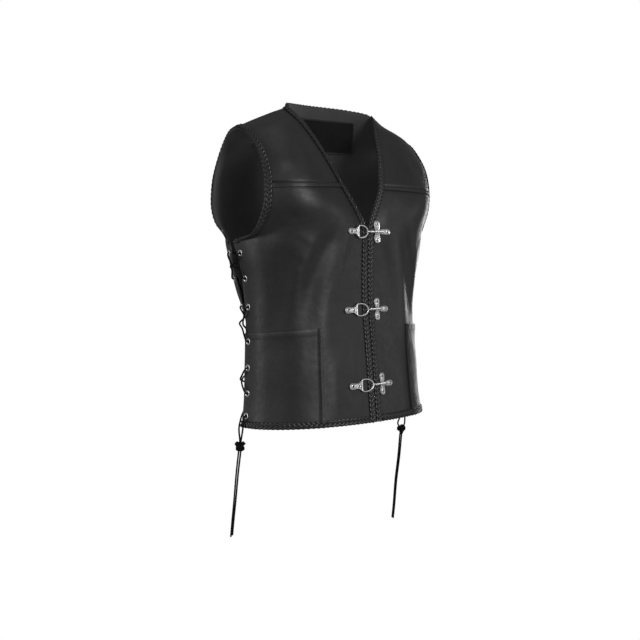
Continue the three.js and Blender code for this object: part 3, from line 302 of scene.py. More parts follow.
def back_upper_row(row):
    """A curve that is even about the centre line, through a row's three points."""
    centre, middle, arm = np.array(row, float)
    x = np.concatenate([np.linspace(0, middle[0], 4), np.linspace(middle[0], arm[0], 4)[1:]])[:, None]
    m2, a2 = middle[0] ** 2, arm[0] ** 2
    fourth = ((arm - centre) / a2 - (middle - centre) / m2) / (a2 - m2)
    square = (middle - centre) / m2 - fourth * m2
    points = centre + square * x**2 + fourth * x**4
    points[:, 0] = x[:, 0]
    return points


class Hide:
    """A smooth face of leather. u runs along a row from 0 to 6 and r counts the rows up from the hem."""

    def __init__(self, rows, folds, whole):
        self.rows = np.array(rows)
        self.folds = folds
        self.whole = whole
        self.outside = 1 if self.rows[0, 0, 1] < 0 else -1

    def bare(self, u, r):
        u, r = np.broadcast_arrays(np.asarray(u, float), np.asarray(r, float))
        shape = u.shape
        u, r = u.ravel(), r.ravel()
        row = curve_at(self.rows.__getitem__, len(self.rows), r)
        if self.whole:
            row = np.concatenate([row[:, 1:2] * (-1, 1, 1), row], axis=1)
        every = np.arange(len(u))
        t = np.abs(u) + 1 if self.whole else u

        def in_own_row(i):
            return row[every, i]

        points = curve_at(in_own_row, row.shape[1], t)
        if self.whole:
            points[:, 0] *= np.where(u < 0, -1, 1)
        return points.reshape(shape + (3,))

    def normal(self, u, r):
        step = 0.02
        u, r = np.broadcast_arrays(np.asarray(u, float), np.asarray(r, float))
        low = 1 - COLUMNS if self.whole else 0
        ends = [np.clip(u - step, low, COLUMNS - 1), np.clip(u + step, low, COLUMNS - 1)]
        rows = [np.clip(r - step, 0, len(self.rows) - 1), np.clip(r + step, 0, len(self.rows) - 1)]
        across = self.bare(ends[1], r) - self.bare(ends[0], r)
        up = self.bare(u, rows[1]) - self.bare(u, rows[0])
        return self.outside * unit(np.cross(across, up))

    def lift(self, p, creases=()):
        """How far the folds and creases raise the leather."""
        out, z = np.abs(p[..., 0]), p[..., 2]
        total = np.zeros(out.shape)
        for (ax, az), (bx, bz), bow, width, rise in [*self.folds, *creases]:
            dx, dz = bx - ax, bz - az
            long = math.hypot(dx, dz)
            s = ((out - ax) * dx + (z - az) * dz) / long**2
            off = ((out - ax) * dz - (z - az) * dx) / long - bow * np.sin(np.pi * np.clip(s, 0, 1))
            taper = smooth(s, -0.2, 0.3) * (1 - smooth(s, 0.65, 1.2))
            total += rise * taper * np.exp(-((off / width) ** 2))
        return total

    def calm(self, u, r):
        """Folds die out towards the edges, where the braid and the lacing hold the leather."""
        centre = 1 if self.whole else smooth(u, 0.2, 0.9)
        return smooth(COLUMNS - 1 - np.abs(u), 0.15, 1.1) * centre * smooth(r, -0.3, 0.6)

    def point(self, u, r, creases=()):
        p = self.bare(u, r)
        rise = self.lift(p, creases) * self.calm(u, r)
        return p + self.normal(u, r) * rise[..., None]

    def u_from_edge(self, r, wanted):
        edge = self.bare(COLUMNS - 1, r)

        def far(u):
            return np.linalg.norm(self.bare(u, r) - edge, axis=-1) > wanted

        return bisect(far, np.full(np.shape(r), COLUMNS - 2.2), np.full(np.shape(r), COLUMNS - 1.0))

    def u_from_centre(self, r, wanted):
        edge = self.bare(0, r)

        def near(u):
            return np.linalg.norm(self.bare(u, r) - edge, axis=-1) < wanted

        return bisect(near, np.zeros(np.shape(r)), np.full(np.shape(r), COLUMNS - 1.0))

    def row_at(self, u, z):
        u, z = np.broadcast_arrays(np.asarray(u, float), np.asarray(z, float))

        def below(r):
            return self.bare(u, r)[..., 2] < z

        return bisect(below, np.zeros(u.shape), np.full(u.shape, len(self.rows) - 1.0))

    def r_step(self, u, r0, wanted, way):
        """The r that lies wanted mm from row r0 along column u, upwards if way is 1."""
        u, r0 = np.broadcast_arrays(np.asarray(u, float), np.asarray(r0, float))
        start = self.bare(u, r0)

        def near(t):
            return np.linalg.norm(self.bare(u, r0 + way * t) - start, axis=-1) < wanted

        return r0 + way * bisect(near, np.zeros(u.shape), np.full(u.shape, 1.6))


def eased(rows):
    """The chest runs smoothly past the underarm: there each row is eased towards its neighbours."""
    rows = np.array(rows)
    for r in EASED_ROWS:
        between = (rows[r - 1, 1:-1] + rows[r + 1, 1:-1]) / 2
        rows[r, 1:-1] = (rows[r, 1:-1] + between) / 2
    return rows


front_rows = [section_row(row, -1, CENTRE_GAP / 2) for row in FRONT_SECTIONS]
front_rows += [front_upper_row(row) for row in FRONT_UPPER]
front = Hide(eased(front_rows), FRONT_FOLDS, False)
back_rows = [section_row(row, 1, 0) for row in BACK_SECTIONS]
back_rows += [back_upper_row(row) for row in BACK_UPPER] + [BACK_TOP]
back = Hide(back_rows, BACK_FOLDS, True)
TOP_ROW = len(front.rows) - 1


def even_rows(hide, u, first, last, step):
    """Rows about step mm apart along column u."""
    fine = np.linspace(first, last, 300)
    along = arc(hide.bare(u, fine))
    return np.interp(np.linspace(0, along[-1], round(along[-1] / step) + 1), along, fine)


def linear(colour):
    """An sRGB hex colour as linear light."""
    parts = [int(colour[k : k + 2], 16) / 255 for k in (1, 3, 5)]
    return tuple(v / 12.92 if v <= 0.04045 else ((v + 0.055) / 1.055) ** 2.4 for v in parts) + (1.0,)


def add_node(tree, kind, settings=None, inputs=None):
    """Adds a node; a value in inputs is a socket to link from or a plain value."""
    made = tree.nodes.new(kind)
    for key, value in (settings or {}).items():
        setattr(made, key, value)
    for key, value in (inputs or {}).items():
        if isinstance(value, bpy.types.NodeSocket):
            tree.links.new(value, made.inputs[key])
        else:
            made.inputs[key].default_value = value
    return made


def new_material(name):
    """A material with only its output, its tree and where on the object a point lies, in metres."""
    material = bpy.data.materials.new(name)
    material.use_nodes = True
    tree = material.node_tree
    tree.nodes.clear()
    where = add_node(tree, "ShaderNodeTexCoord").outputs["Object"]
    return material, tree, where


def close_material(tree, inputs):
    surface = add_node(tree, "ShaderNodeBsdfPrincipled", inputs=inputs).outputs["BSDF"]
    add_node(tree, "ShaderNodeOutputMaterial", inputs={"Surface": surface})


def noise(tree, where, size, **more):
    """Soft noise whose patches are about size metres across."""
    inputs = {"Vector": where, "Scale": 1 / size, **more}
    return add_node(tree, "ShaderNodeTexNoise", inputs=inputs).outputs["Fac"]


def times(tree, value, by, plus=None):
    if plus is None:
        return add_node(tree, "ShaderNodeMath", {"operation": "MULTIPLY"}, {0: value, 1: by}).outputs[0]
    inputs = {0: value, 1: by, 2: plus}
    return add_node(tree, "ShaderNodeMath", {"operation": "MULTIPLY_ADD"}, inputs).outputs[0]


def raised(tree, height):
    """The shading normal of a surface that height, in metres, roughens."""
    inputs = {"Height": height, "Distance": 1.0, "Strength": 1.0}
    return add_node(tree, "ShaderNodeBump", inputs=inputs).outputs["Normal"]


def between(tree, factor, first, second):
    """A colour between two others, each a hex colour or a socket."""
    first, second = [linear(v) if isinstance(v, str) else v for v in (first, second)]
    inputs = {"Factor": factor, "A": first, "B": second}
    return add_node(tree, "ShaderNodeMix", {"data_type": "RGBA"}, inputs).outputs["Result"]


def spread(tree, value, low, high, **more):
    inputs = {"Value": value, **more, "To Min": low, "To Max": high}
    return add_node(tree, "ShaderNodeMapRange", inputs=inputs).outputs["Result"]


def painted(tree, name):
    """A shade that the mesh carries at each of its points."""
    return add_node(tree, "ShaderNodeAttribute", {"attribute_name": name}).outputs["Fac"]


def satin_cowhide():
    """Chrome-tanned cowhide, dyed black and pressed to a satin finish.

    The eye gets a soft broad sheen that breaks up over shallow pebbling, greyer where edges rub, greyer too
    along the neck facing's border as a painted highlight, and black where painted shade darkens a seam's
    groove.
    Real grain is 0.5 mm; it is drawn at 1.6 mm to show.
    """
    material, tree, where = new_material("satin_black_cowhide")
    cells = {"Vector": where, "Scale": 1 / 0.0016}
    pebble = add_node(tree, "ShaderNodeTexVoronoi", {"feature": "SMOOTH_F1"}, cells).outputs["Distance"]
    wrinkle = noise(tree, where, 0.009, Detail=4.0, Roughness=0.55)
    buckle = noise(tree, where, 0.045, Detail=2.0)
    fine = times(tree, pebble, 0.00005)
    middle = times(tree, wrinkle, 0.00022, plus=fine)
    height = times(tree, buckle, 0.0014, plus=middle)
    dye = between(tree, buckle, "#1a1a1c", "#242426")
    # Lighter where edges, rims and fold ridges wear, and along the neck facing's border as a painted highlight.
    lightened = between(tree, painted(tree, "wear_and_highlight"), dye, "#424141")
    # Painted shade: the welt grooves are darkened towards #060606.
    colour = between(tree, painted(tree, "painted_seam_shade"), lightened, "#060606")
    rough = spread(tree, wrinkle, 0.4, 0.52, **{"From Min": 0.3, "From Max": 0.7})
    finish = {"Base Color": colour, "Roughness": rough, "IOR": 1.5, "Normal": raised(tree, height)}
    close_material(tree, finish)
    return material


def flesh_side():
    """The inner, flesh side of the same hide, dyed through and buffed.

    The eye gets a matte black with a short nap; its grey is lighter than the dye alone, partly the flesh side's
    own grey and partly painted fill light for the dim inside of the vest.
    """
    material, tree, where = new_material("buffed_flesh_side")
    nap = noise(tree, where, 0.0012, Detail=3.0, Roughness=0.7)
    patch = noise(tree, where, 0.04, Detail=2.0)
    finish = {
        # Partly the flesh side's own grey, partly painted fill light that lightens the inside.
        "Base Color": between(tree, patch, "#444446", "#525254"),
        "Roughness": 0.8,
        "IOR": 1.5,
        "Sheen Weight": 0.3,
        "Sheen Roughness": 0.5,
        "Normal": raised(tree, times(tree, nap, 0.0002)),
    }
    close_material(tree, finish)
    return material


def braid_lace():
    """Kangaroo-style lacing cut from glazed black hide, for the braid.

    The eye gets small bright glints on each turn.
    """
    material, tree, where = new_material("glazed_braid_lace")
    fibre = noise(tree, where, 0.0016, Detail=3.0, Roughness=0.6)
    finish = {
        "Base Color": between(tree, fibre, "#131314", "#1f1f20"),
        "Roughness": spread(tree, fibre, 0.26, 0.46),
        "IOR": 1.5,
        "Normal": raised(tree, times(tree, fibre, 0.00012)),
    }
    close_material(tree, finish)
    return material


def waxed_thong():
    """Round waxed leather thong for the side laces.

    The eye gets a dull black cord with faint lengthwise creases.
    """
    material, tree, where = new_material("waxed_leather_thong")
    lengthwise = {0: where, 1: (1.0, 1.0, 0.15)}
    drawn_out = add_node(tree, "ShaderNodeVectorMath", {"operation": "MULTIPLY"}, lengthwise)
    crease = noise(tree, drawn_out.outputs["Vector"], 0.0011, Detail=3.0)
    finish = {
        "Base Color": between(tree, crease, "#080808", "#111111"),
        "Roughness": 0.78,
        "IOR": 1.4,
        "Specular IOR Level": 0.25,
        "Normal": raised(tree, times(tree, crease, 0.00012)),
    }
    close_material(tree, finish)
    return material


def bonded_thread():
    """Bonded nylon sewing thread, black.

    The eye gets a row of short smooth stitches, a touch shinier than the hide.
    """
    material, tree, where = new_material("bonded_nylon_thread")
    ply = noise(tree, where, 0.0008)
    colour = between(tree, ply, "#141414", "#262626")
    close_material(tree, {"Base Color": colour, "Roughness": 0.42, "IOR": 1.53})
    return material


def plated_nickel():
    """Stamped brass eyelets plated with bright nickel.

    The eye gets a clean mirror-like ring with faint tool haze.
    """
    material, tree, where = new_material("bright_nickel_plate")
    haze = noise(tree, where, 0.0025, Detail=3.0)
    rough = spread(tree, haze, 0.14, 0.3)
    close_material(tree, {"Base Color": linear("#efefed"), "Metallic": 1.0, "Roughness": rough})
    return material


def antiqued_silver():
    """Cast zinc alloy, silver plated, blackened and rubbed back.

    The eye gets bright raised rims, dark hollows.
    """
    material, tree, where = new_material("antiqued_silver_casting")
    cast = noise(tree, where, 0.0018, Detail=4.0, Roughness=0.6)
    hollow = painted(tree, "hollow")
    patina = between(tree, cast, "#dedfe0", "#fafaf8")
    finish = {
        # Dark in the blackened hollows, and on the hole floors, where the dark is painted shade over the black
        # leather beneath.
        "Base Color": between(tree, hollow, patina, "#2a2a2b"),
        "Metallic": 1.0,
        "Roughness": spread(tree, hollow, 0.3, 0.6),
        "Normal": raised(tree, times(tree, cast, 0.00018)),
    }
    close_material(tree, finish)
    return material


HIDE = satin_cowhide()
FLESH = flesh_side()
BRAID = braid_lace()
THONG = waxed_thong()
THREAD = bonded_thread()
NICKEL = plated_nickel()
SILVER = antiqued_silver()


def mesh_piece(name, points, faces, materials, nodes=(), face_material=None, shades=None, sharp=40):
    """An object at the origin from points in millimetres, riding on the vest's one body."""
    mesh = bpy.data.meshes.new(name)
    mesh.from_pydata((np.asarray(points) * MM).tolist(), [], [list(map(int, f)) for f in faces])
    for material in materials:
        mesh.materials.append(material)
    if face_material is not None:
        mesh.polygons.foreach_set("material_index", np.asarray(face_material, np.int32))
    mesh.polygons.foreach_set("use_smooth", np.ones(len(mesh.polygons), bool))
    for attribute, values in (shades or {}).items():
        made = mesh.attributes.new(attribute, "FLOAT", "POINT")
        made.data.foreach_set("value", np.asarray(values, np.float32))
    mesh.update()
    mesh.set_sharp_from_angle(angle=math.radians(sharp))
    piece = bpy.data.objects.new(name, mesh)
    bpy.context.collection.objects.link(piece)
    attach(piece, "root")
    if nodes:
        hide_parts(*nodes)
    return piece


def flipped(points, side):
    return points * (side, 1, 1)


class Mould:
    """Gathers the points and faces of one piece."""

    def __init__(self):
        self.points = []
        self.faces = []
        self.shade = []
        self.count = 0

    def add(self, points, faces, shade=0.0):
        points = np.asarray(points, float)
        self.points.append(points)
        self.faces += [[i + self.count for i in face] for face in faces]
        self.shade.append(np.broadcast_to(np.asarray(shade, float), len(points)))
        self.count += len(points)

    def piece(self, name, material, slot, nodes=(), side=LEFT, place=None, shade_name=None, sharp=40):
        points = np.concatenate(self.points)
        if place is not None:
            points = points @ place[:3, :3].T + place[:3, 3]
        faces = self.faces if side == LEFT else [face[::-1] for face in self.faces]
        shades = {shade_name: np.concatenate(self.shade)} if shade_name else None
        return mesh_piece(name, flipped(points, side), faces, [material], nodes, shades=shades, sharp=sharp)


def ring_faces(rings, sides, closed=False):
    """Quads between rings of points that follow each other."""
    faces = []
    for i in range(rings if closed else rings - 1):
        a, b = i * sides, (i + 1) % rings * sides
        faces += [[a + k, a + (k + 1) % sides, b + (k + 1) % sides, b + k] for k in range(sides)]
    return faces


def tube_parts(path, radius, sides, closed=False, flat=None, across=None):
    """A tube's points and faces. radius is one number or one a ring; flat scales it along across."""
    path = np.asarray(path, float)
    count = len(path)
    if closed:
        tangent = unit(np.roll(path, -1, axis=0) - np.roll(path, 1, axis=0))
    else:
        tangent = unit(np.gradient(path, axis=0))
    if across is None:
        wide = np.empty_like(path)
        guide = np.array([0, 1, 0]) if abs(tangent[0, 1]) < 0.9 else np.array([1, 0, 0])
        for i in range(count):
            guide = unit(guide - tangent[i] * (guide @ tangent[i]))
            wide[i] = guide
    else:
        wide = unit(across - tangent * (across * tangent).sum(-1, keepdims=True))
    thick = np.cross(tangent, wide)
    angle = 2 * np.pi * np.arange(sides) / sides
    radius = np.broadcast_to(radius, count)[:, None, None]
    squash = 1 if flat is None else flat
    ring = wide[:, None] * np.cos(angle)[None, :, None]
    ring = ring + squash * thick[:, None] * np.sin(angle)[None, :, None]
    points = (path[:, None] + radius * ring).reshape(-1, 3)
    faces = ring_faces(count, sides, closed)
    if not closed:
        faces += [list(range(sides))[::-1], [(count - 1) * sides + k for k in range(sides)]]
    return points, faces


def wall(name, outer, inner, keep, nodes, side, wear_and_highlight=None, painted_seam_shade=None, grain_inside=False):
    """A closed leather wall between two grids of points; cells that keep leaves out are holes."""
    rows, cols = outer.shape[:2]
    index = np.arange(rows * cols).reshape(rows, cols)
    quads = np.stack([index[:-1, :-1], index[:-1, 1:], index[1:, 1:], index[1:, :-1]], axis=-1)[keep]
    half = rows * cols
    edges = np.concatenate([quads[:, [k, (k + 1) % 4]] for k in range(4)])
    lone = np.ones(len(edges), bool)
    seen = {}
    for k, (a, b) in enumerate(edges):
        other = seen.pop((b, a), None)
        if other is None:
            seen[a, b] = k
        else:
            lone[k] = lone[other] = False
    rim = edges[lone]
    flat_outer, flat_inner = outer.reshape(-1, 3), inner.reshape(-1, 3)
    # The rim bulges a little, as a turned and pressed edge does.
    middle = (flat_outer + flat_inner) / 2
    cell = flat_outer[quads].mean(axis=1)
    away = np.zeros_like(flat_outer)
    for k in range(4):
        np.add.at(away, quads[:, k], flat_outer[quads[:, k]] - cell)
    used = np.unique(rim)
    bulge = middle[used] + unit(away[used] + 1e-9) * 0.35
    at = np.zeros(half, int)
    at[used] = 2 * half + np.arange(len(used))
    a, b = rim[:, 0], rim[:, 1]
    faces = np.concatenate(
        [
            quads,
            quads[:, ::-1] + half,
            np.stack([b, a, at[a], at[b]], axis=1),
            np.stack([at[b], at[a], a + half, b + half], axis=1),
        ]
    )
    kind = np.concatenate([np.zeros(len(quads)), np.ones(len(quads)), np.zeros(2 * len(rim))])
    if grain_inside:
        kind = 1 - kind
    points = np.concatenate([flat_outer, flat_inner, bulge])
    # Lighter for wear at edges, ridges and rims, and at the neck facing's border for a painted highlight.
    lightened = np.zeros(len(points))
    if wear_and_highlight is not None:
        lightened[:half] = wear_and_highlight.ravel()
        lightened[half : 2 * half] = wear_and_highlight.ravel()
    lightened[2 * half :] = 0.7
    # Painted shade in the welt grooves, on the outer face only.
    dark = np.zeros(len(points))
    if painted_seam_shade is not None:
        dark[:half] = np.broadcast_to(painted_seam_shade, outer.shape[:2]).ravel()
    kept = np.unique(faces)
    renumber = np.zeros(len(points), int)
    renumber[kept] = np.arange(len(kept))
    faces = renumber[faces]
    if side * (1 if outer[0, 0, 1] < 0 else -1) < 0:
        faces = faces[:, ::-1]
    shades = {"wear_and_highlight": lightened[kept], "painted_seam_shade": dark[kept]}
    points = flipped(points[kept], side)
    return mesh_piece(name, points, faces, [HIDE, FLESH], nodes, kind, shades, sharp=50)


def punched(outer, inner, places):
    """Opens a round hole at each place: its cells go, and the points round it move onto the circle."""
    keep = np.ones((outer.shape[0] - 1, outer.shape[1] - 1), bool)
    for place in places:
        centre, n = place["p"], place["n"]
        off = outer - centre
        flat = off - (off @ n)[..., None] * n
        far = np.linalg.norm(flat, axis=-1)
        near = (far < 40) & (np.abs(off @ n) < 12)
        middle = (far[:-1, :-1] + far[1:, :-1] + far[:-1, 1:] + far[1:, 1:]) / 4
        gone = (middle < PUNCH_R) & near[:-1, :-1]
        keep &= ~gone
        touched = np.zeros(far.shape, bool)
        for di in (0, 1):
            for dj in (0, 1):
                touched[di : di + gone.shape[0], dj : dj + gone.shape[1]] |= gone
        solid = np.zeros(far.shape, bool)
        for di in (0, 1):
            for dj in (0, 1):
                solid[di : di + gone.shape[0], dj : dj + gone.shape[1]] |= ~gone & near[:-1, :-1]
        rim = touched & solid
        move = unit(flat[rim]) * (PUNCH_R - far[rim])[:, None]
        outer[rim] += move
        inner[rim] += move
    return keep


def eyelet_places(hide, rise):
    """Where the eyelets sit on a laced edge, from the lowest up."""
    places = []
    for k, z in enumerate(EYELET_HEIGHTS):
        r = float(hide.row_at(COLUMNS - 1, z))
        u = float(hide.u_from_edge(np.array(r), EYELET_INSET))
        n = hide.normal(u, r)
        up = hide.bare(u, r + 0.2) - hide.bare(u, r - 0.2)
        up = unit(up - n * (up @ n))
        places.append({"p": hide.point(u, r) + n * rise(k), "n": n, "up": up, "thick": LEATHER + rise(k)})
    return places


def on_pocket(k):
    return EYELET_HEIGHTS[k] < POCKET_MOUTH - 12


front_eyelets = eyelet_places(front, lambda k: SEAM_GAP + LEATHER if on_pocket(k) else 0)
back_eyelets = eyelet_places(back, lambda k: 0)


def strip_columns(hide, r, across):
    """u for each column of a row: even ones over the panel, then closer ones over the laced strip."""
    inner = hide.u_from_edge(r, LACE_STRIP)[:, None]
    panel = np.linspace(0, 1, across)[None, :-1] * inner
    strip = inner + (COLUMNS - 1 - inner) * np.linspace(0, 1, 13)[None]
    return np.concatenate([panel, strip], axis=1)


def edge_rub(u):
    """Wear of a panel at its laced edge."""
    return 0.5 * (1 - smooth(COLUMNS - 1 - np.abs(u), 0, 0.12))


def ridge_rub(lift):
    """Wear where a fold stands proud."""
    return 0.25 * smooth(lift, 1.5, 5)


def front_panel(name, side):
    r = even_rows(front, 3, 0, YOKE_ROW, 4.0)
    u = strip_columns(front, r, 56)
    r = np.broadcast_to(r[:, None], u.shape)
    creases = FRONT_CREASES[side]
    outer = front.point(u, r, creases)
    n = front.normal(u, r)
    # The top edge tucks under the yoke's welt.
    below = np.linalg.norm(outer - outer[-1], axis=-1)
    outer = outer - n * (0.9 * np.exp(-((below / 3.0) ** 2)))[..., None]
    outer[-1] -= unit(outer[-1] - outer[-2]) * SEAM_GAP / 2
    inner = outer - n * LEATHER
    keep = punched(outer, inner, front_eyelets)
    wear_and_highlight = edge_rub(u) + ridge_rub(front.lift(front.bare(u, r)))
    return wall(f"front_panel_{name}_hide", outer, inner, keep, [f"front_panel_{name}"], side, wear_and_highlight)


def welt_profile(distance, height):
    """A stitched welt: flat and proud over its width, with a soft groove where its far edge is sewn down."""
    top = height * (1 - smooth(distance, WELT_WIDTH - 1.2, WELT_WIDTH + 0.6))
    groove = 1.1 * np.exp(-(((distance - WELT_WIDTH - 1.2) / 1.3) ** 2))
    crown = 0.25 * np.exp(-(((distance - WELT_WIDTH / 2) / 2.4) ** 2))
    return top - groove + crown


def seam_shadow(distance):
    """Painted shade that darkens a welt's groove."""
    return np.exp(-(((distance - WELT_WIDTH - 1.0) / 1.5) ** 2))


WELT_STEPS = [0, 0.5, 1.2, 2.4, 4, 5.6, 7, 8, 8.8, 9.6, 10.4, 11.4, 13, 15]


def yoke_panel(name, side):
    creases = FRONT_CREASES[side]
    columns = strip_columns(front, np.full(1, 13.0), 50)[0]
    seam = [front.r_step(columns, YOKE_ROW, SEAM_GAP / 2 + d, 1) for d in WELT_STEPS]
    shares = np.linspace(0, 1, 42)[1:, None]
    upper = mix(seam[-1][None], TOP_ROW, shares)
    r = np.concatenate([np.array(seam), upper])
    u = np.broadcast_to(columns, r.shape)
    distance = np.concatenate([np.array(WELT_STEPS), np.full(len(upper), 99)])[:, None]
    p = front.point(u, r, creases)
    n = front.normal(u, r)
    level = smooth(r, TOP_ROW - 0.6, TOP_ROW)[..., None]
    n = unit(mix(n, np.array([0.4, 0, 0.917]), level))
    p[-1, :, 1] -= SEAM_GAP / 2
    # The welt runs between the braid at its two ends.
    middle = smooth(u, 0.32, 0.42) * (1 - smooth(u, 5.55, 5.68))
    outer = p + n * (welt_profile(distance, YOKE_WELT) * middle)[..., None]
    inner = p - n * LEATHER
    keep = np.ones((r.shape[0] - 1, r.shape[1] - 1), bool)
    wear_and_highlight = 0.35 * np.exp(-((distance / 1.2) ** 2)) * middle
    # Painted shade along the welt's groove.
    painted_seam_shade = seam_shadow(distance) * middle
    return wall(f"yoke_{name}_hide", outer, inner, keep, [f"yoke_{name}"], side, wear_and_highlight, painted_seam_shade)


def back_panel():
    r = even_rows(back, 2, 0, TOP_ROW, 4.2)
    half = strip_columns(back, r, 52)
    u = np.concatenate([-half[:, :0:-1], half], axis=1)
    r = np.broadcast_to(r[:, None], u.shape)
    outer = back.point(u, r, BACK_CREASES)
    n = back.normal(u, r)
    side = np.sign(u) + (u == 0)
    round_neck = smooth(3 - np.abs(u), 0, 1.4)[..., None]
    lean = np.stack([0.15 * side, np.full(u.shape, 0.72), np.full(u.shape, 0.68)], axis=-1)
    stand = np.stack([0.4 * side, np.zeros(u.shape), np.full(u.shape, 0.917)], axis=-1)
    top = mix(stand, lean, round_neck)
    n = unit(mix(n, top, smooth(r, TOP_ROW - 0.6, TOP_ROW)[..., None]))
    outer[-1, :, 1] += SEAM_GAP / 2 * (np.abs(u[-1]) >= 2.99)
    inner = outer - n * LEATHER
    mirrored = [{**place, "p": place["p"] * (-1, 1, 1), "n": place["n"] * (-1, 1, 1)} for place in back_eyelets]
    keep = punched(outer, inner, back_eyelets + mirrored)
    wear_and_highlight = edge_rub(u) + ridge_rub(back.lift(back.bare(u, r)))
    return wall("back_panel_hide", outer, inner, keep, ["back_panel"], LEFT, wear_and_highlight)


POCKET_LEVEL = 2
pocket_seam_u = float(front.u_from_centre(np.array(float(POCKET_LEVEL)), POCKET_SEAM_ARC))
band_u = float(front.u_from_centre(np.array(float(POCKET_LEVEL)), BAND_WIDTH))
lace_u = float(front.u_from_edge(np.array(float(POCKET_LEVEL)), LACE_STRIP))
pocket_share = (pocket_seam_u - band_u) / (lace_u - band_u)


def pocket_start(r):
    """u of the pocket's inner seam."""
    return mix(front.u_from_centre(r, BAND_WIDTH), front.u_from_edge(r, LACE_STRIP), pocket_share)


def pocket_mouth_row(u):
    z = mix(POCKET_MOUTH, POCKET_MOUTH_SIDE, (u - pocket_seam_u) / (COLUMNS - 1 - pocket_seam_u))
    return front.row_at(u, z)


def pocket_panel(name, side):
    """The patch pocket: its inner seam is a stitched welt, and its mouth stands off the front a little."""
    rise = np.linspace(0, 1, 52)[:, None]
    guess = 4.2 * rise[:, 0]
    start = pocket_start(guess)
    row_length = np.linalg.norm(front.bare(COLUMNS - 1, guess) - front.bare(start, guess), axis=-1)
    inner_edge = front.u_from_edge(guess, LACE_STRIP)
    welt = np.array(WELT_STEPS)[None] / row_length[:, None] * (COLUMNS - 1 - start)[:, None]
    near = start[:, None] + welt
    panel = mix(near[:, -1:], inner_edge[:, None], np.linspace(0, 1, 24)[None, 1:])
    strip = mix(inner_edge[:, None], COLUMNS - 1, np.linspace(0, 1, 13)[None, 1:])
    u = np.concatenate([near, panel, strip], axis=1)
    mouth = pocket_mouth_row(u[-1])
    r = rise * mouth[None]
    distance = np.concatenate([np.array(WELT_STEPS), np.full(u.shape[1] - len(WELT_STEPS), 99)])[None]
    p = front.point(u, r, FRONT_CREASES[side])
    n = front.normal(u, r)
    across = (u - u[:, :1]) / (COLUMNS - 1 - u[:, :1])
    below = np.linalg.norm(p - p[-1], axis=-1)
    gape = POCKET_GAPE * np.sin(np.pi * np.clip((across - 0.1) / 0.72, 0, 1)) * np.exp(-((below / 26) ** 2))
    # A pocket that is used keeps a shallow hollow below its mouth.
    slack = 0.8 * np.sin(np.pi * np.clip((across - 0.15) / 0.7, 0, 1)) * np.exp(-(((below - 70) / 34) ** 2))
    base = SEAM_GAP + gape
    outer = p + n * (base + LEATHER + slack + welt_profile(distance, POCKET_WELT))[..., None]
    # The mouth is turned in, so its last few millimetres are thicker.
    turned = 0.5 * np.exp(-(((below - 6) / 5) ** 4)) * smooth(distance, 8, 12)
    outer = outer + n * turned[..., None]
    inner = p + n * base[..., None]
    keep = punched(outer, inner, [place for k, place in enumerate(front_eyelets) if on_pocket(k)])
    wear_and_highlight = edge_rub(u) + 0.4 * np.exp(-((below / 2) ** 2)) + 0.35 * np.exp(-((distance / 1.2) ** 2))
    # Painted shade along the welt's groove.
    painted_seam_shade = seam_shadow(distance)
    return wall(f"pocket_{name}_hide", outer, inner, keep, [f"pocket_{name}"], side, wear_and_highlight, painted_seam_shade)


FACING_BOTTOM = -46
FACING_DOWN = 26
FACING_THICK = 1.2
FACING_GAP = 0.4
FACING_ENDS = (3.73, 3.17, 2.6)  # u at its bottom, middle and top


def neck_facing():
    """The bare facing inside the back, below the neck: wider at its bottom edge."""
    share = np.concatenate([[0, 0.02, 0.045, 0.06], np.linspace(0.1, 0.9, 16), [0.94, 0.955, 0.98, 1]])
    end = np.interp(share, (0, 0.5, 1), FACING_ENDS)
    across = np.concatenate([[-1, -0.99, -0.978, -0.97], np.linspace(-0.95, 0.95, 58), [0.97, 0.978, 0.99, 1]])
    u = end[:, None] * across[None]
    bottom = back.row_at(np.minimum(np.abs(u[0]), 4), np.full(u.shape[1], FACING_BOTTOM))
    top = back.r_step(np.minimum(np.abs(u[-1]), 3), TOP_ROW, FACING_DOWN, -1)
    r = mix(bottom[None], top[None], share[:, None])
    p = back.point(u, r, BACK_CREASES)
    n = back.normal(u, r)
    outer = p - n * (LEATHER + FACING_GAP)
    inner = outer - n * FACING_THICK
    border = np.ones(u.shape)
    border[3:-3, 3:-3] = 0
    inner = inner - n * (0.5 * border)[..., None]
    keep = np.ones((len(share) - 1, u.shape[1] - 1), bool)
    # The border's lighter colour is a painted highlight along the facing's edges.
    return wall("neck_facing_hide", outer, inner, keep, ["neck_facing"], LEFT, border, grain_inside=True)


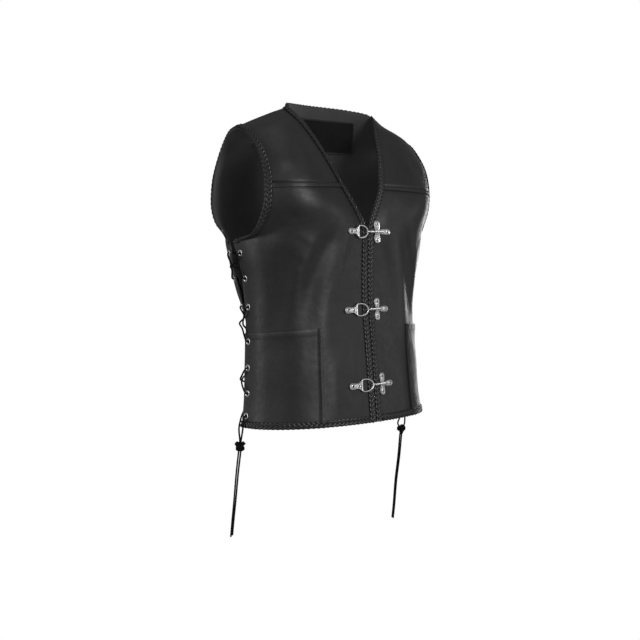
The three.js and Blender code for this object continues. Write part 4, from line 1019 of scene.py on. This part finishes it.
def braid(name, edge, inner, normal, base, nodes, side):
    """A flat three-strand braid on a thin backing, along the strip between an edge and a line inside it."""
    mould = Mould()
    across = unit(inner - edge)
    middle = edge + across * (BAND_WIDTH / 2 - 0.5)
    long = arc(middle)[-1]
    periods = max(1, round(long / BRAID_PERIOD))
    distance = np.linspace(0, long, periods * 13 + 1)
    centre = at_arc(middle, distance)
    along = arc(middle)
    side_way, out = [unit(at_arc_of(v, along, distance)) for v in (across, normal)]
    height = np.interp(distance, along, np.broadcast_to(base, len(along)))[:, None]
    swing = BAND_WIDTH / 2 - STRAND_HALF_WIDTH + 0.5
    lift = (BAND_HEIGHT - 2 * STRAND_HALF_THICK) / 2
    for k in range(3):
        phase = 2 * np.pi * (distance / long * periods + k / 3)[:, None]
        path = centre + side_way * swing * np.sin(phase)
        path = path + out * (height + STRAND_HALF_THICK + lift + 0.1 + lift * np.sin(2 * phase))
        wide = unit(np.cross(out, np.gradient(path, axis=0)))
        flat = STRAND_HALF_THICK / STRAND_HALF_WIDTH
        mould.add(*tube_parts(path, STRAND_HALF_WIDTH, 8, flat=flat, across=wide))
    half = BAND_WIDTH / 2 - 1.4
    section = [(-half, 0), (-half, 0.8), (0, 1.3), (half, 0.8), (half, 0)]
    rings = [centre + side_way * x + out * (height + z) for x, z in section]
    points = np.stack(rings, axis=1).reshape(-1, 3)
    faces = ring_faces(len(centre), len(section))
    mould.add(points, faces + [[4, 3, 2, 1, 0], [len(points) - 5 + k for k in range(5)]])
    return mould.piece(name, BRAID, "band", nodes, side, sharp=60)


def edge_braid(name, side):
    """Up the centre front and the V neck to the shoulder seam."""
    r = even_rows(front, 0, 0, TOP_ROW, 5)
    inside = front.u_from_centre(r, BAND_WIDTH)
    edge, inner = front.point(0, r), front.point(inside, r)
    n = front.normal(inside / 2, r)
    level = smooth(r, TOP_ROW - 0.6, TOP_ROW)[:, None]
    n = unit(mix(n, np.array([0.4, 0, 0.917]), level))
    return braid(f"edge_braid_{name}", edge, inner, n, SEAM_GAP, [f"edge_band_{name}"], side)


def hem_braid(name, side):
    """Along the hem of a front, climbing onto the pocket."""
    first = float(front.u_from_centre(np.array(0.0), BAND_WIDTH + 0.5))
    u = np.linspace(first, COLUMNS - 1, 80)
    r = front.r_step(u, 0.0, BAND_WIDTH, 1)
    edge, inner = front.point(u, 0.0), front.point(u, r)
    along = arc(edge)
    start = float(np.interp(float(pocket_start(np.array(0.0))), u, along))
    on_welt = smooth(along, start - 4, start) * (SEAM_GAP + LEATHER)
    welt = POCKET_WELT * smooth(along, start - 4, start) * (1 - smooth(along, start + 8, start + 11))
    base = SEAM_GAP + on_welt + welt
    return braid(f"hem_braid_{name}", edge, inner, front.normal(u, r / 2), base, [f"hem_band_{name}"], side)


def armhole_braid(name, side):
    """Round an armhole in one run, up the front, over the shoulder and down the back."""
    runs = []
    for hide, seam in ((front, -1), (back, 1)):
        r = even_rows(hide, COLUMNS - 1, UNDERARM_ROW, TOP_ROW, 5)
        edge = hide.point(COLUMNS - 1, r)
        inside = hide.u_from_edge(r, BAND_WIDTH)
        inner = hide.point(inside, r)
        level = smooth(r, TOP_ROW - 0.6, TOP_ROW)[:, None]
        n = unit(mix(hide.normal((inside + COLUMNS - 1) / 2, r), np.array([0.4, 0, 0.917]), level))
        runs.append((edge, inner, n))
    edge, inner, n = [np.concatenate([a, b[-2::-1]]) for a, b in zip(*runs)]
    return braid(f"armhole_braid_{name}", edge, inner, n, SEAM_GAP, [f"armhole_band_{name}"], side)


def back_hem_braid():
    u = np.linspace(1 - COLUMNS, COLUMNS - 1, 140)
    r = back.r_step(np.abs(u), 0.0, BAND_WIDTH, 1)
    n = back.normal(u, r / 2)
    return braid("back_hem_braid", back.point(u, 0.0), back.point(u, r), n, SEAM_GAP, ["back_hem_band"], LEFT)


def neck_braid():
    """Round the back of the neck, from one neck point to the other."""
    u = np.linspace(-3, 3, 90)
    edge = back.point(u, float(TOP_ROW))
    inner = back.point(u, back.r_step(np.abs(u), float(TOP_ROW), BAND_WIDTH, -1))
    side = np.sign(u)
    n = np.stack([0.15 * side, np.full(len(u), 0.72), np.full(len(u), 0.68)], axis=1)
    corner = np.stack([0.4 * side, np.zeros(len(u)), np.full(len(u), 0.917)], axis=1)
    n = unit(mix(corner, n, smooth(3 - np.abs(u), 0, 1.4)[:, None]))
    n = unit(mix(n, back.normal(u, float(TOP_ROW)), 0.5))
    return braid("neck_braid", edge, inner, n, SEAM_GAP, ["neck_band"], LEFT)


STITCH_PITCH = 3.6
STITCH_LONG = 2.7
STITCH_R = 0.42


def stitches(name, lines, side):
    """Rows of short stitches, each a small thread on the leather; lines lists (points, normals)."""
    mould = Mould()
    for points, normals in lines:
        along = arc(points)
        for start in np.arange(STITCH_PITCH / 2, along[-1] - STITCH_LONG, STITCH_PITCH):
            at = start + STITCH_LONG * np.array([0, 0.2, 0.5, 0.8, 1])
            path = np.stack([np.interp(at, along, points[:, k]) for k in range(3)], axis=1)
            n = unit(np.array([np.interp(start, along, normals[:, k]) for k in range(3)]))
            path = path + n * np.array([-0.5, 0.1, 0.3, 0.1, -0.5])[:, None]
            mould.add(*tube_parts(path, STITCH_R, 6))
    return mould.piece(name, THREAD, "leather", side=side)


def yoke_stitches(name, side):
    lines = []
    for distance in (2.4, 7.0):
        u = np.linspace(0.42, 5.55, 120)
        r = front.r_step(u, YOKE_ROW, SEAM_GAP / 2 + distance, 1)
        n = front.normal(u, r)
        p = front.point(u, r, FRONT_CREASES[side]) + n * welt_profile(distance, YOKE_WELT)
        lines.append((p, n))
    return stitches(f"yoke_stitches_{name}", lines, side)


def pocket_stitches(name, side):
    """Two rows down the inner seam and one below the mouth."""
    lines = []
    for distance in (2.4, 7.0):
        start = pocket_start(np.zeros(1))[0]
        top = float(pocket_mouth_row(np.array([start]))[0])
        bottom = float(front.r_step(np.array(start), 0.0, BAND_WIDTH + 1, 1))
        r = np.linspace(bottom, top - 0.02, 90)
        begin = pocket_start(r)
        row_length = np.linalg.norm(front.bare(COLUMNS - 1, r) - front.bare(begin, r), axis=-1)
        u = begin + distance / row_length * (COLUMNS - 1 - begin)
        n = front.normal(u, r)
        p = front.point(u, r, FRONT_CREASES[side])
        lines.append((p + n * (SEAM_GAP + LEATHER + welt_profile(distance, POCKET_WELT)), n))
    u = np.linspace(pocket_seam_u + 0.25, COLUMNS - 1.05, 80)
    r = front.r_step(u, pocket_mouth_row(u), 12, -1)
    n = front.normal(u, r)
    across = (u - pocket_seam_u) / (COLUMNS - 1 - pocket_seam_u)
    gape = POCKET_GAPE * np.sin(np.pi * np.clip((across - 0.1) / 0.72, 0, 1)) * math.exp(-((12 / 26) ** 2))
    p = front.point(u, r, FRONT_CREASES[side]) + n * (SEAM_GAP + LEATHER + gape + 0.1)[:, None]
    lines.append((p, n))
    return stitches(f"pocket_stitches_{name}", lines, side)


def eyelet(name, place, node, side):
    """A two-part eyelet: a rolled flange outside, its barrel through the hide and the washer inside."""
    seat = EYELET_SEAT
    top = seat + EYELET_METAL
    under = -place["thick"] - seat
    hole, flange = EYELET_HOLE_R, EYELET_FLANGE_R
    half = [
        (flange - 0.3, seat),
        (flange - 0.05, seat + 0.4),
        (flange - 0.3, top - 0.3),
        (flange - 0.9, top - 0.02),
        (flange - 1.5, top),
        (flange - 2.1, top - 0.25),
        (hole + 0.5, top - 0.8),
        (hole + 0.25, top - 1.6),
        (hole, under + 0.2),
        (hole + 0.3, under - 0.6),
        (hole + 1.2, under - EYELET_METAL + 0.1),
        (flange - 1.4, under - 0.7),
        (flange - 1.0, under),
        (hole + 1.0, under),
        (hole + 0.9, seat),
    ]
    angle = 2 * np.pi * np.arange(40) / 40
    p = place["p"]
    right = np.cross(place["up"], place["n"])
    spokes = np.cos(angle)[:, None] * right + np.sin(angle)[:, None] * place["up"]
    points = np.stack([p + spokes * radius + place["n"] * z for radius, z in half], axis=1)
    mould = Mould()
    mould.add(points.reshape(-1, 3), ring_faces(len(angle), len(half), closed=True))
    return mould.piece(name, NICKEL, "eyelet_metal", [node], side, sharp=35)


LACE_REST = EYELET_SEAT + EYELET_METAL + LACE_R + 0.4
OVER_BAND = BAND_HEIGHT + SEAM_GAP + LACE_R + 0.6
CROSS_BOW = (3.5, 8)
EDGE_CLEAR = LACE_R + 2.6
RIM_CLEAR = 8
INSIDE_RUN = 9
HEM_CLEAR = 25
BESIDE = 8
BESIDE_RISE = 3.8
PAIR_TOPS = (1, 3, 5)
KNOT_R = 10
KNOTS = {"left": ((220, 6, -671), (194, 6, -872)), "right": ((213, 27, -660), (235, 27, -840))}


def lace_path(fronts, backs, ends):
    """One lace's way, from one end at the knot up the side and back down to the other."""

    def outside(f, height=LACE_REST):
        return f["p"] + f["n"] * height

    def inside(f):
        return f["p"] - f["n"] * (f["thick"] + LACE_REST)

    def toward(f, other):
        d = other["p"] - f["p"]
        return unit(d - f["n"] * (d @ f["n"]))

    def leave(f, other, distance, height):
        return outside(f, height) + toward(f, other) * distance

    def within(f, other, distance):
        return inside(f) + toward(f, other) * distance

    def past(f, other):
        """How far along its way to the other edge a strand has left its own."""
        return (EYELET_INSET + 3) / math.sqrt(1 - (toward(f, other) @ f["up"]) ** 2)

    def cross(a, b, bow):
        outward = unit(a["n"] + b["n"])
        start = leave(a, b, past(a, b), EDGE_CLEAR)
        end = leave(b, a, past(b, a), EDGE_CLEAR)
        middle = (start + end) / 2 + outward * bow
        return [inside(a), outside(a), start, middle, end, outside(b), inside(b)]

    def climb(low, high):
        middle = (low["p"] + high["p"]) / 2 - low["n"] * (low["thick"] + LACE_REST + 1.5)
        return [within(low, high, INSIDE_RUN), middle, within(high, low, INSIDE_RUN)]

    def under(f, distance):
        return outside(f, OVER_BAND) - f["up"] * distance

    def down(f, near, clear, end):
        return [inside(f), outside(f), near, clear, end[1], end[0]]

    def strand(here, there, bow):
        points = climb(here[0], here[1])
        for low in PAIR_TOPS:
            if low > 1:
                points += climb(here[low - 1], here[low])
            points += cross(here[low], there[low + 1], bow)
            here, there = there, here
        return points + [within(here[-1], there[-1], INSIDE_RUN)]

    clear = under(fronts[0], HEM_CLEAR)
    beside = clear + toward(fronts[0], backs[0]) * BESIDE + fronts[0]["n"] * BESIDE_RISE
    slant = outside(backs[0], OVER_BAND)
    slant = slant + unit(beside - slant) * RIM_CLEAR
    first = down(fronts[0], under(fronts[0], RIM_CLEAR), clear, ends[0])[::-1]
    first = first + strand(fronts, backs, CROSS_BOW[0])
    second = down(backs[0], slant, beside, ends[1])[::-1] + strand(backs, fronts, CROSS_BOW[1])
    return first + second[::-1]


def side_lace(name, side):
    knot = np.array(KNOTS[name][0], float)
    ends = []
    for way in ((2, -5, 9), (-3, 5, 9)):
        way = unit(np.array(way, float))
        ends.append([knot + way * (KNOT_R - 3), knot + way * (KNOT_R + 5)])
    path = rounded(lace_path(front_eyelets, back_eyelets, ends), 2.6)
    mould = Mould()
    mould.add(*tube_parts(path, LACE_R, 10))
    return mould.piece(f"side_lace_{name}", THONG, "lace", [f"lace_{name}"], side)


def wound_knot(name, side):
    """An overhand knot tied in both strands at once: two laces side by side round a trefoil, drawn tight."""
    knot = np.array(KNOTS[name][0], float)
    t = np.linspace(0, 2 * np.pi, 121)[:-1]
    x = np.sin(t) + 2 * np.sin(2 * t)
    z = np.cos(t) - 2 * np.cos(2 * t)
    y = -np.sin(3 * t)
    trefoil = np.stack([3.1 * x + 0.8 * y, 5.0 * y + 0.3 * x, 3.0 * z + 0.9], axis=1)
    along = unit(np.roll(trefoil, -1, axis=0) - np.roll(trefoil, 1, axis=0))
    beside = unit(np.cross(along, trefoil + (0, 0.01, 0)))
    mould = Mould()
    for way in (-1, 1):
        mould.add(*tube_parts(knot + trefoil + beside * 1.7 * way, 2.2, 10, closed=True))
    core = rounded([(0, 0, -7), (0.5, 0, -3), (-0.5, 0, 3), (0, 0, 7)], 1.0)
    mould.add(*tube_parts(knot + core, np.interp(core[:, 2], (-7, -4, 4, 7), (3.0, 6.6, 6.6, 3.0)), 14))
    return mould.piece(f"wound_knot_{name}", THONG, "lace", [f"knot_{name}"], side, sharp=80)


TAIL_POINTS = 22


def lace_tails(name, side):
    """The two free ends of a lace, hanging from its knot."""
    knot, end = np.array(KNOTS[name], float)
    fall = unit(end - knot)
    for k, way in enumerate((-1, 1)):
        by = np.array([1.83 * way, 0, 0])
        start = knot + unit(fall * KNOT_R + 1.6 * by) * (KNOT_R - 0.5)
        finish = end + by + fall * way * 1.2
        share = np.linspace(0, 1, TAIL_POINTS)[:, None]
        sway = np.array([0.5, 0.8, 0]) * np.sin(np.pi * share) * (1 - 0.6 * share)
        kink = np.array([0.7, -0.4, 0]) * np.sin(2.6 * np.pi * share) * np.sin(np.pi * share)
        path = mix(start, finish, share) + sway + kink
        path = flipped(path, side)
        mould = Mould()
        line = rounded(path, 2.5)
        mould.add(*tube_parts(line, LACE_R, 10))
        piece = mould.piece(f"lace_tail_{k + 1}_{name}", THONG, "lace", [f"lace_end_{k + 1}_{name}"])


CLASPS = [(-228, -0.4, 0.2), (-384, -1.3, -0.4), (-535, -1.2, -0.6)]  # height, hook's rest, ring's rest
CLASP_METAL = 2.2
RING_WIRE_R = 1.6
RING_TIP_X = 3
CROSS_MIDDLE = 19.5
HOOK_REACH = 52
RING_REACH = 60
HOOK_WIRE_R = 1.2
HOOK_PLAY = 0.45
HOOK_BOXES = [(12, HOOK_REACH, 7), (13, 27, 23)]
RING_BOXES = [(5, 31, 13), (31, RING_REACH, 7)]


def clasp_place(z, rest, reach, boxes):
    """The frame of a clasp's half: x out from the centre front, y up, z off the leather, just clear of it."""

    def on_hide(x, height):
        r = front.row_at(np.zeros(np.shape(height)), height)
        u = front.u_from_centre(r, x)
        return front.point(u, r), front.normal(u, r)

    near, near_n = on_hide(np.array(0.0), np.array(float(z)))
    far, far_n = on_hide(np.array(float(reach)), np.array(float(z)))
    n = unit(near_n + far_n)
    along = unit(unit(far - near) - n * (BAND_HEIGHT - SEAM_GAP) / reach)
    n = unit(n - along * (n @ along))
    raise_by = 0.0
    for first, last, high in boxes:
        x, y = np.meshgrid(np.linspace(first, last, 9), np.linspace(-high, high, 9))
        at = on_hide(x, z + y)[0]
        cover = np.where(x < BAND_WIDTH + 3, SEAM_GAP + BAND_HEIGHT, 0)
        raise_by = max(raise_by, float(((at - near) @ n + cover).max()))
    place = np.eye(4)
    place[:3, 0] = along
    place[:3, 1] = np.cross(n, along)
    place[:3, 2] = n
    place[:3, 3] = near + n * (raise_by + rest)
    return place


RIM_INSET = (0, 0.2, 0.6, 1.1, 1.7, 2.3, 3.2)
RIM_RISE = (0.4, 0.85, 1.0, 0.98, 0.8, 0.74, 0.76)


def cast_plate(mould, outline, core):
    """A cast leaf of the clasp: a rounded rim round a darkened hollow.

    core is the middle line, as two ends.
    """
    edge = rounded([*outline, outline[0]], 0.9)[:-1]
    a, b = np.array(core[0], float), np.array(core[1], float)
    along = np.clip(((edge - a) @ (b - a)) / ((b - a) @ (b - a)), 0, 1)[:, None]
    spine = a + (b - a) * along
    reach = np.linalg.norm(edge - spine, axis=1)[:, None]
    rings, shade = [np.hstack([edge, np.zeros((len(edge), 1))])], [np.zeros(len(edge))]
    for inset, rise in zip(RIM_INSET, RIM_RISE):
        share = np.minimum(inset, reach * 0.95) / reach
        at = edge + (spine - edge) * share
        rings.append(np.hstack([at, np.full((len(edge), 1), rise * CLASP_METAL)]))
        dark = 0.75 * float(smooth(inset, 1.2, 1.8)) * float(1 - smooth(inset, 2.4, 3.2))
        shade.append(np.full(len(edge), dark))
    rings.append(np.hstack([spine, np.full((len(edge), 1), 0.92 * CLASP_METAL)]))
    shade.append(np.zeros(len(edge)))
    points = np.stack(rings, axis=1).reshape(-1, 3)
    faces = []
    levels = len(rings)
    for i in range(len(edge)):
        a0, b0 = i * levels, (i + 1) % len(edge) * levels
        faces += [[a0 + k, b0 + k, b0 + k + 1, a0 + k + 1] for k in range(levels - 1)]
    faces.append([i * levels for i in range(len(edge))][::-1])
    mould.add(points, faces, np.stack(shade, axis=1).ravel())


def cast_stud(mould, x, y, z, radius, dark):
    """A low round boss, or where dark is 1 the floor of a drilled hole, painted dark as the hole's shade and
    the black leather seen through it.
    """
    angle = 2 * np.pi * np.arange(20) / 20
    rings = [(radius, -0.6), (radius, 0.05), (radius * 0.85, 0.3), (radius * 0.5, 0.48), (radius * 0.02, 0.52)]
    circle = np.stack([np.cos(angle), np.sin(angle)], axis=1)
    points = []
    for reach, rise in rings:
        height = np.full((len(angle), 1), z + (rise if not dark else min(rise, 0.08)))
        points.append(np.hstack([np.array([x, y]) + circle * reach, height]))
    mould.add(np.concatenate(points), ring_faces(len(rings), len(angle)), dark)


def cast_rim(mould, x, y, z, radius, wire, stretch=1.0):
    """A raised ring round a hole; stretch makes it an oval along x."""
    angle = 2 * np.pi * np.arange(28) / 28
    path = np.stack([x + radius * stretch * np.cos(angle), y + radius * np.sin(angle), np.full(28, z)], axis=1)
    mould.add(*tube_parts(path, wire, 8, closed=True))


def clasp_ring(k, place):
    """The ring half: a lug with a sewing hole, a waist, and the bracket that holds the ring's bar."""
    mould = Mould()
    lobe = [(42, -4.8), (46, -5.9), (51, -6.3), (56, -6), (59, -3.8), (RING_REACH, 0)]
    lobe = lobe + [(x, -y) for x, y in lobe[-2::-1]] + [(41.4, 0)]
    cast_plate(mould, lobe, ((46.5, 0), (54.5, 0)))
    cast_rim(mould, 51.6, 0, CLASP_METAL, 2.6, 0.75, 1.2)
    cast_stud(mould, 51.6, 0, CLASP_METAL * 0.95, 2.2, 1.0)
    bracket = [(28.8, -9.4), (32, -9.6), (35.4, -7.4), (38.5, -5.8), (42.6, -5.2)]
    bracket = bracket + [(x, -y) for x, y in bracket[::-1]]
    cast_plate(mould, bracket, ((33, 0), (39.5, 0)))
    cast_rim(mould, 38, 0, CLASP_METAL * 0.98, 2.0, 0.6, 1.3)
    cast_stud(mould, 38, 0, CLASP_METAL * 0.93, 1.7, 0.9)
    sleeve = rounded([(31.4, y, RING_WIRE_R + 0.3) for y in (-9.6, -4, 4, 9.6)], 1.2)
    mould.add(*tube_parts(sleeve, 2.1 + 0.22 * np.cos(sleeve[:, 1] * 2.1), 12))
    half = [(30, 8.8), (29.4, 10.6), (26.5, 11.9), (20, 12.1), (12.6, 10.8), (6.4, 7), (RING_TIP_X, 2.4)]
    loop = half + [(x, -y) for x, y in half[::-1]]
    wire = rounded([(x, y, RING_WIRE_R) for x, y in [*loop, loop[0]]], 1.1)[:-1]
    mould.add(*tube_parts(wire, RING_WIRE_R, 12, closed=True))
    mould.piece(f"clasp_ring_half_{k}", SILVER, "clasp_metal", [f"clasp_ring_{k}"], RIGHT, place, "hollow")


def clasp_hook(k, place, bar):
    """The hook half: a cross of cast leaves, and a twisted wire hook over the ring's tip."""
    mould = Mould()
    middle = CROSS_MIDDLE
    leaf = [(4.2, 2.6), (5.6, 6.0), (6.5, 10), (6.8, 14.4), (6.4, 18.8), (4.1, 21.7), (0, 22.5)]
    leaf = leaf + [(-x, y) for x, y in leaf[-2::-1]]
    for way in (1, -1):
        outline = [(middle + x, way * y) for x, y in leaf][::way]
        cast_plate(mould, outline, ((middle, way * 7), (middle, way * 16.2)))
        cast_rim(mould, middle, way * 15.4, CLASP_METAL, 2.5, 0.75)
        cast_stud(mould, middle, way * 15.4, CLASP_METAL * 0.95, 2.1, 1.0)
        for rib in (5.2, 7.2, 9.2):
            span = [
                (middle + x, way * (rib + 0.1 * x * x / 4), CLASP_METAL * 0.95)
                for x in (-3.6, -1.8, 0, 1.8, 3.6)
            ]
            mould.add(*tube_parts(rounded(span, 0.9), 0.62, 8))
    arm = [(21, -3.4), (27, -4.2), (32, -5.2), (39, -5.9), (45, -6), (49.6, -4.4), (HOOK_REACH, 0)]
    arm = arm + [(x, -y) for x, y in arm[-2::-1]]
    cast_plate(mould, arm, ((27, 0), (46, 0)))
    cast_rim(mould, 44.5, 0, CLASP_METAL, 2.4, 0.75)
    cast_stud(mould, 44.5, 0, CLASP_METAL * 0.95, 2.0, 1.0)
    cast_stud(mould, 38.2, 0, CLASP_METAL * 0.98, 1.7, 0.0)
    over = bar[2] + RING_WIRE_R + HOOK_PLAY + HOOK_WIRE_R
    tip = bar[0] - RING_WIRE_R - HOOK_PLAY - HOOK_WIRE_R
    line = [
        (36, CLASP_METAL - 0.2),
        (30, CLASP_METAL + 0.9),
        (20, CLASP_METAL + 1.2),
        (12, CLASP_METAL + 1.2),
        (6, over - 0.3),
        (bar[0] + 4, over + 0.2),
        (bar[0], over + 0.2),
        (tip + 0.9, over - 0.9),
        (tip, bar[2]),
        (tip + 0.1, bar[2] - 0.7),
    ]
    wire = rounded([(x, 0, z) for x, z in line], 0.5)
    turn = arc(wire)[:, None] / 6.4 * 2 * np.pi
    up = unit(np.cross(np.gradient(wire, axis=0), (0, 1, 0)))
    thick = 1.0 * smooth(wire[:, 0], bar[0] + 1.5, bar[0] + 5) * (1 - 0.45 * smooth(wire[:, 0], 24, 34))
    for phase in (0, np.pi):
        swing = np.cos(turn + phase) * np.array([0, 1, 0]) + np.sin(turn + phase) * up
        mould.add(*tube_parts(wire + swing * (0.3 + 0.7 * thick[:, None]), 0.85 + 0.7 * thick, 10))
    cast_stud(mould, middle, 0, CLASP_METAL * 0.95, 4.0, 0.0)
    mould.piece(f"clasp_hook_half_{k}", SILVER, "clasp_metal", [f"clasp_hook_{k}"], LEFT, place, "hollow")


def clasps():
    for k, (z, hook_rest, ring_rest) in enumerate(CLASPS, start=1):
        hook_place = clasp_place(z, hook_rest, HOOK_REACH, HOOK_BOXES)
        ring_place = clasp_place(z, ring_rest, RING_REACH, RING_BOXES)
        clasp_ring(k, ring_place)
        bar = ring_place @ np.array([RING_TIP_X, 0, RING_WIRE_R, 1])
        bar[0] = -bar[0]
        clasp_hook(k, hook_place, np.linalg.inv(hook_place) @ bar)


WORLD_LIGHT = 0.2
# Name, place, what it points at, size and power of each soft lamp.
LAMPS = [
    ("front_box", (-0.35, -2.9, 0.6), (0, 0, -0.3), (1.0, 1.4), 37),
    ("metal_box", (2.1, -2.1, -0.3), (0, 0, -0.35), (1.6, 1.6), 8),
    ("right_box", (-2.8, -0.8, 0.5), (0, 0, -0.3), (1.2, 1.6), 9),
    ("side_box", (-2.5, 1.35, -0.1), (0, 0, -0.3), (1.2, 1.6), 14),
    ("rim_box", (2.8, 1.1, -0.3), (0, 0, -0.45), (0.5, 1.2), 15),
    ("top_box", (0.0, -0.6, 2.6), (0, 0, -0.3), (1.6, 1.6), 5),
]


def photo_camera():
    data = bpy.data.cameras.new("photo_camera")
    data.lens = CAMERA_LENS
    data.sensor_width = 36
    camera = bpy.data.objects.new("photo_camera", data)
    bpy.context.collection.objects.link(camera)
    ahead = Vector(
        (
            math.sin(CAMERA_TURN) * math.cos(CAMERA_DIP),
            math.cos(CAMERA_TURN) * math.cos(CAMERA_DIP),
            -math.sin(CAMERA_DIP),
        )
    )
    camera.location = CAMERA_AT
    camera.rotation_euler = ahead.to_track_quat("-Z", "Y").to_euler()
    bpy.context.scene.camera = camera


def soft_light(name, at, toward, size, power):
    data = bpy.data.lights.new(name, "AREA")
    data.shape = "RECTANGLE"
    data.size, data.size_y = size
    data.energy = power
    light = bpy.data.objects.new(name, data)
    light.location = at
    light.rotation_euler = (Vector(toward) - Vector(at)).to_track_quat("-Z", "Y").to_euler()
    bpy.context.collection.objects.link(light)


def seen_white(tree, strength):
    """A shader that looks plain white and sends out less light than it looks, as a lit backdrop."""
    direct = add_node(tree, "ShaderNodeLightPath").outputs["Is Camera Ray"]
    glow = add_node(tree, "ShaderNodeMapRange", inputs={"Value": direct, "To Min": strength, "To Max": 1.0})
    return glow.outputs["Result"]


def studio():
    """A white floor and surroundings, and soft lamps."""
    floor_z = float(cad_box[0][2]) - 0.006
    bpy.ops.mesh.primitive_plane_add(size=60, location=(0, 0, floor_z))
    floor = bpy.context.object
    floor.name = "studio_floor"
    material, tree, where = new_material("white_backdrop_paper")
    glow = seen_white(tree, WORLD_LIGHT)
    paper = add_node(tree, "ShaderNodeEmission", inputs={"Color": (1, 1, 1, 1), "Strength": glow})
    add_node(tree, "ShaderNodeOutputMaterial", inputs={"Surface": paper.outputs[0]})
    floor.data.materials.append(material)
    world = bpy.data.worlds.new("white_studio")
    world.use_nodes = True
    tree = world.node_tree
    background = tree.nodes["Background"]
    background.inputs["Color"].default_value = (1, 1, 1, 1)
    tree.links.new(seen_white(tree, WORLD_LIGHT), background.inputs["Strength"])
    bpy.context.scene.world = world
    for name, at, toward, size, power in LAMPS:
        soft_light(name, at, toward, size, power)
    bpy.context.scene.view_settings.view_transform = "Standard"


def dress():
    for name, side in SIDES.items():
        lace_tails(name, side)
        wound_knot(name, side)
        side_lace(name, side)
        panel = front_panel(name, side)
        yoke = yoke_panel(name, side)
        pocket = pocket_panel(name, side)
        edge = edge_braid(name, side)
        hem = hem_braid(name, side)
        arm = armhole_braid(name, side)
        yoke_thread = yoke_stitches(name, side)
        pocket_thread = pocket_stitches(name, side)
        for k, place in enumerate(front_eyelets, start=1):
            eyelet(f"front_eyelet_{k}_{name}", place, f"eyelet_front_{k}_{name}", side)
        for k, place in enumerate(back_eyelets, start=1):
            eyelet(f"back_eyelet_{k}_{name}", place, f"eyelet_back_{k}_{name}", side)
    whole = back_panel()
    facing = neck_facing()
    hem = back_hem_braid()
    neck = neck_braid()
    clasps()


photo_camera()
dress()
studio()
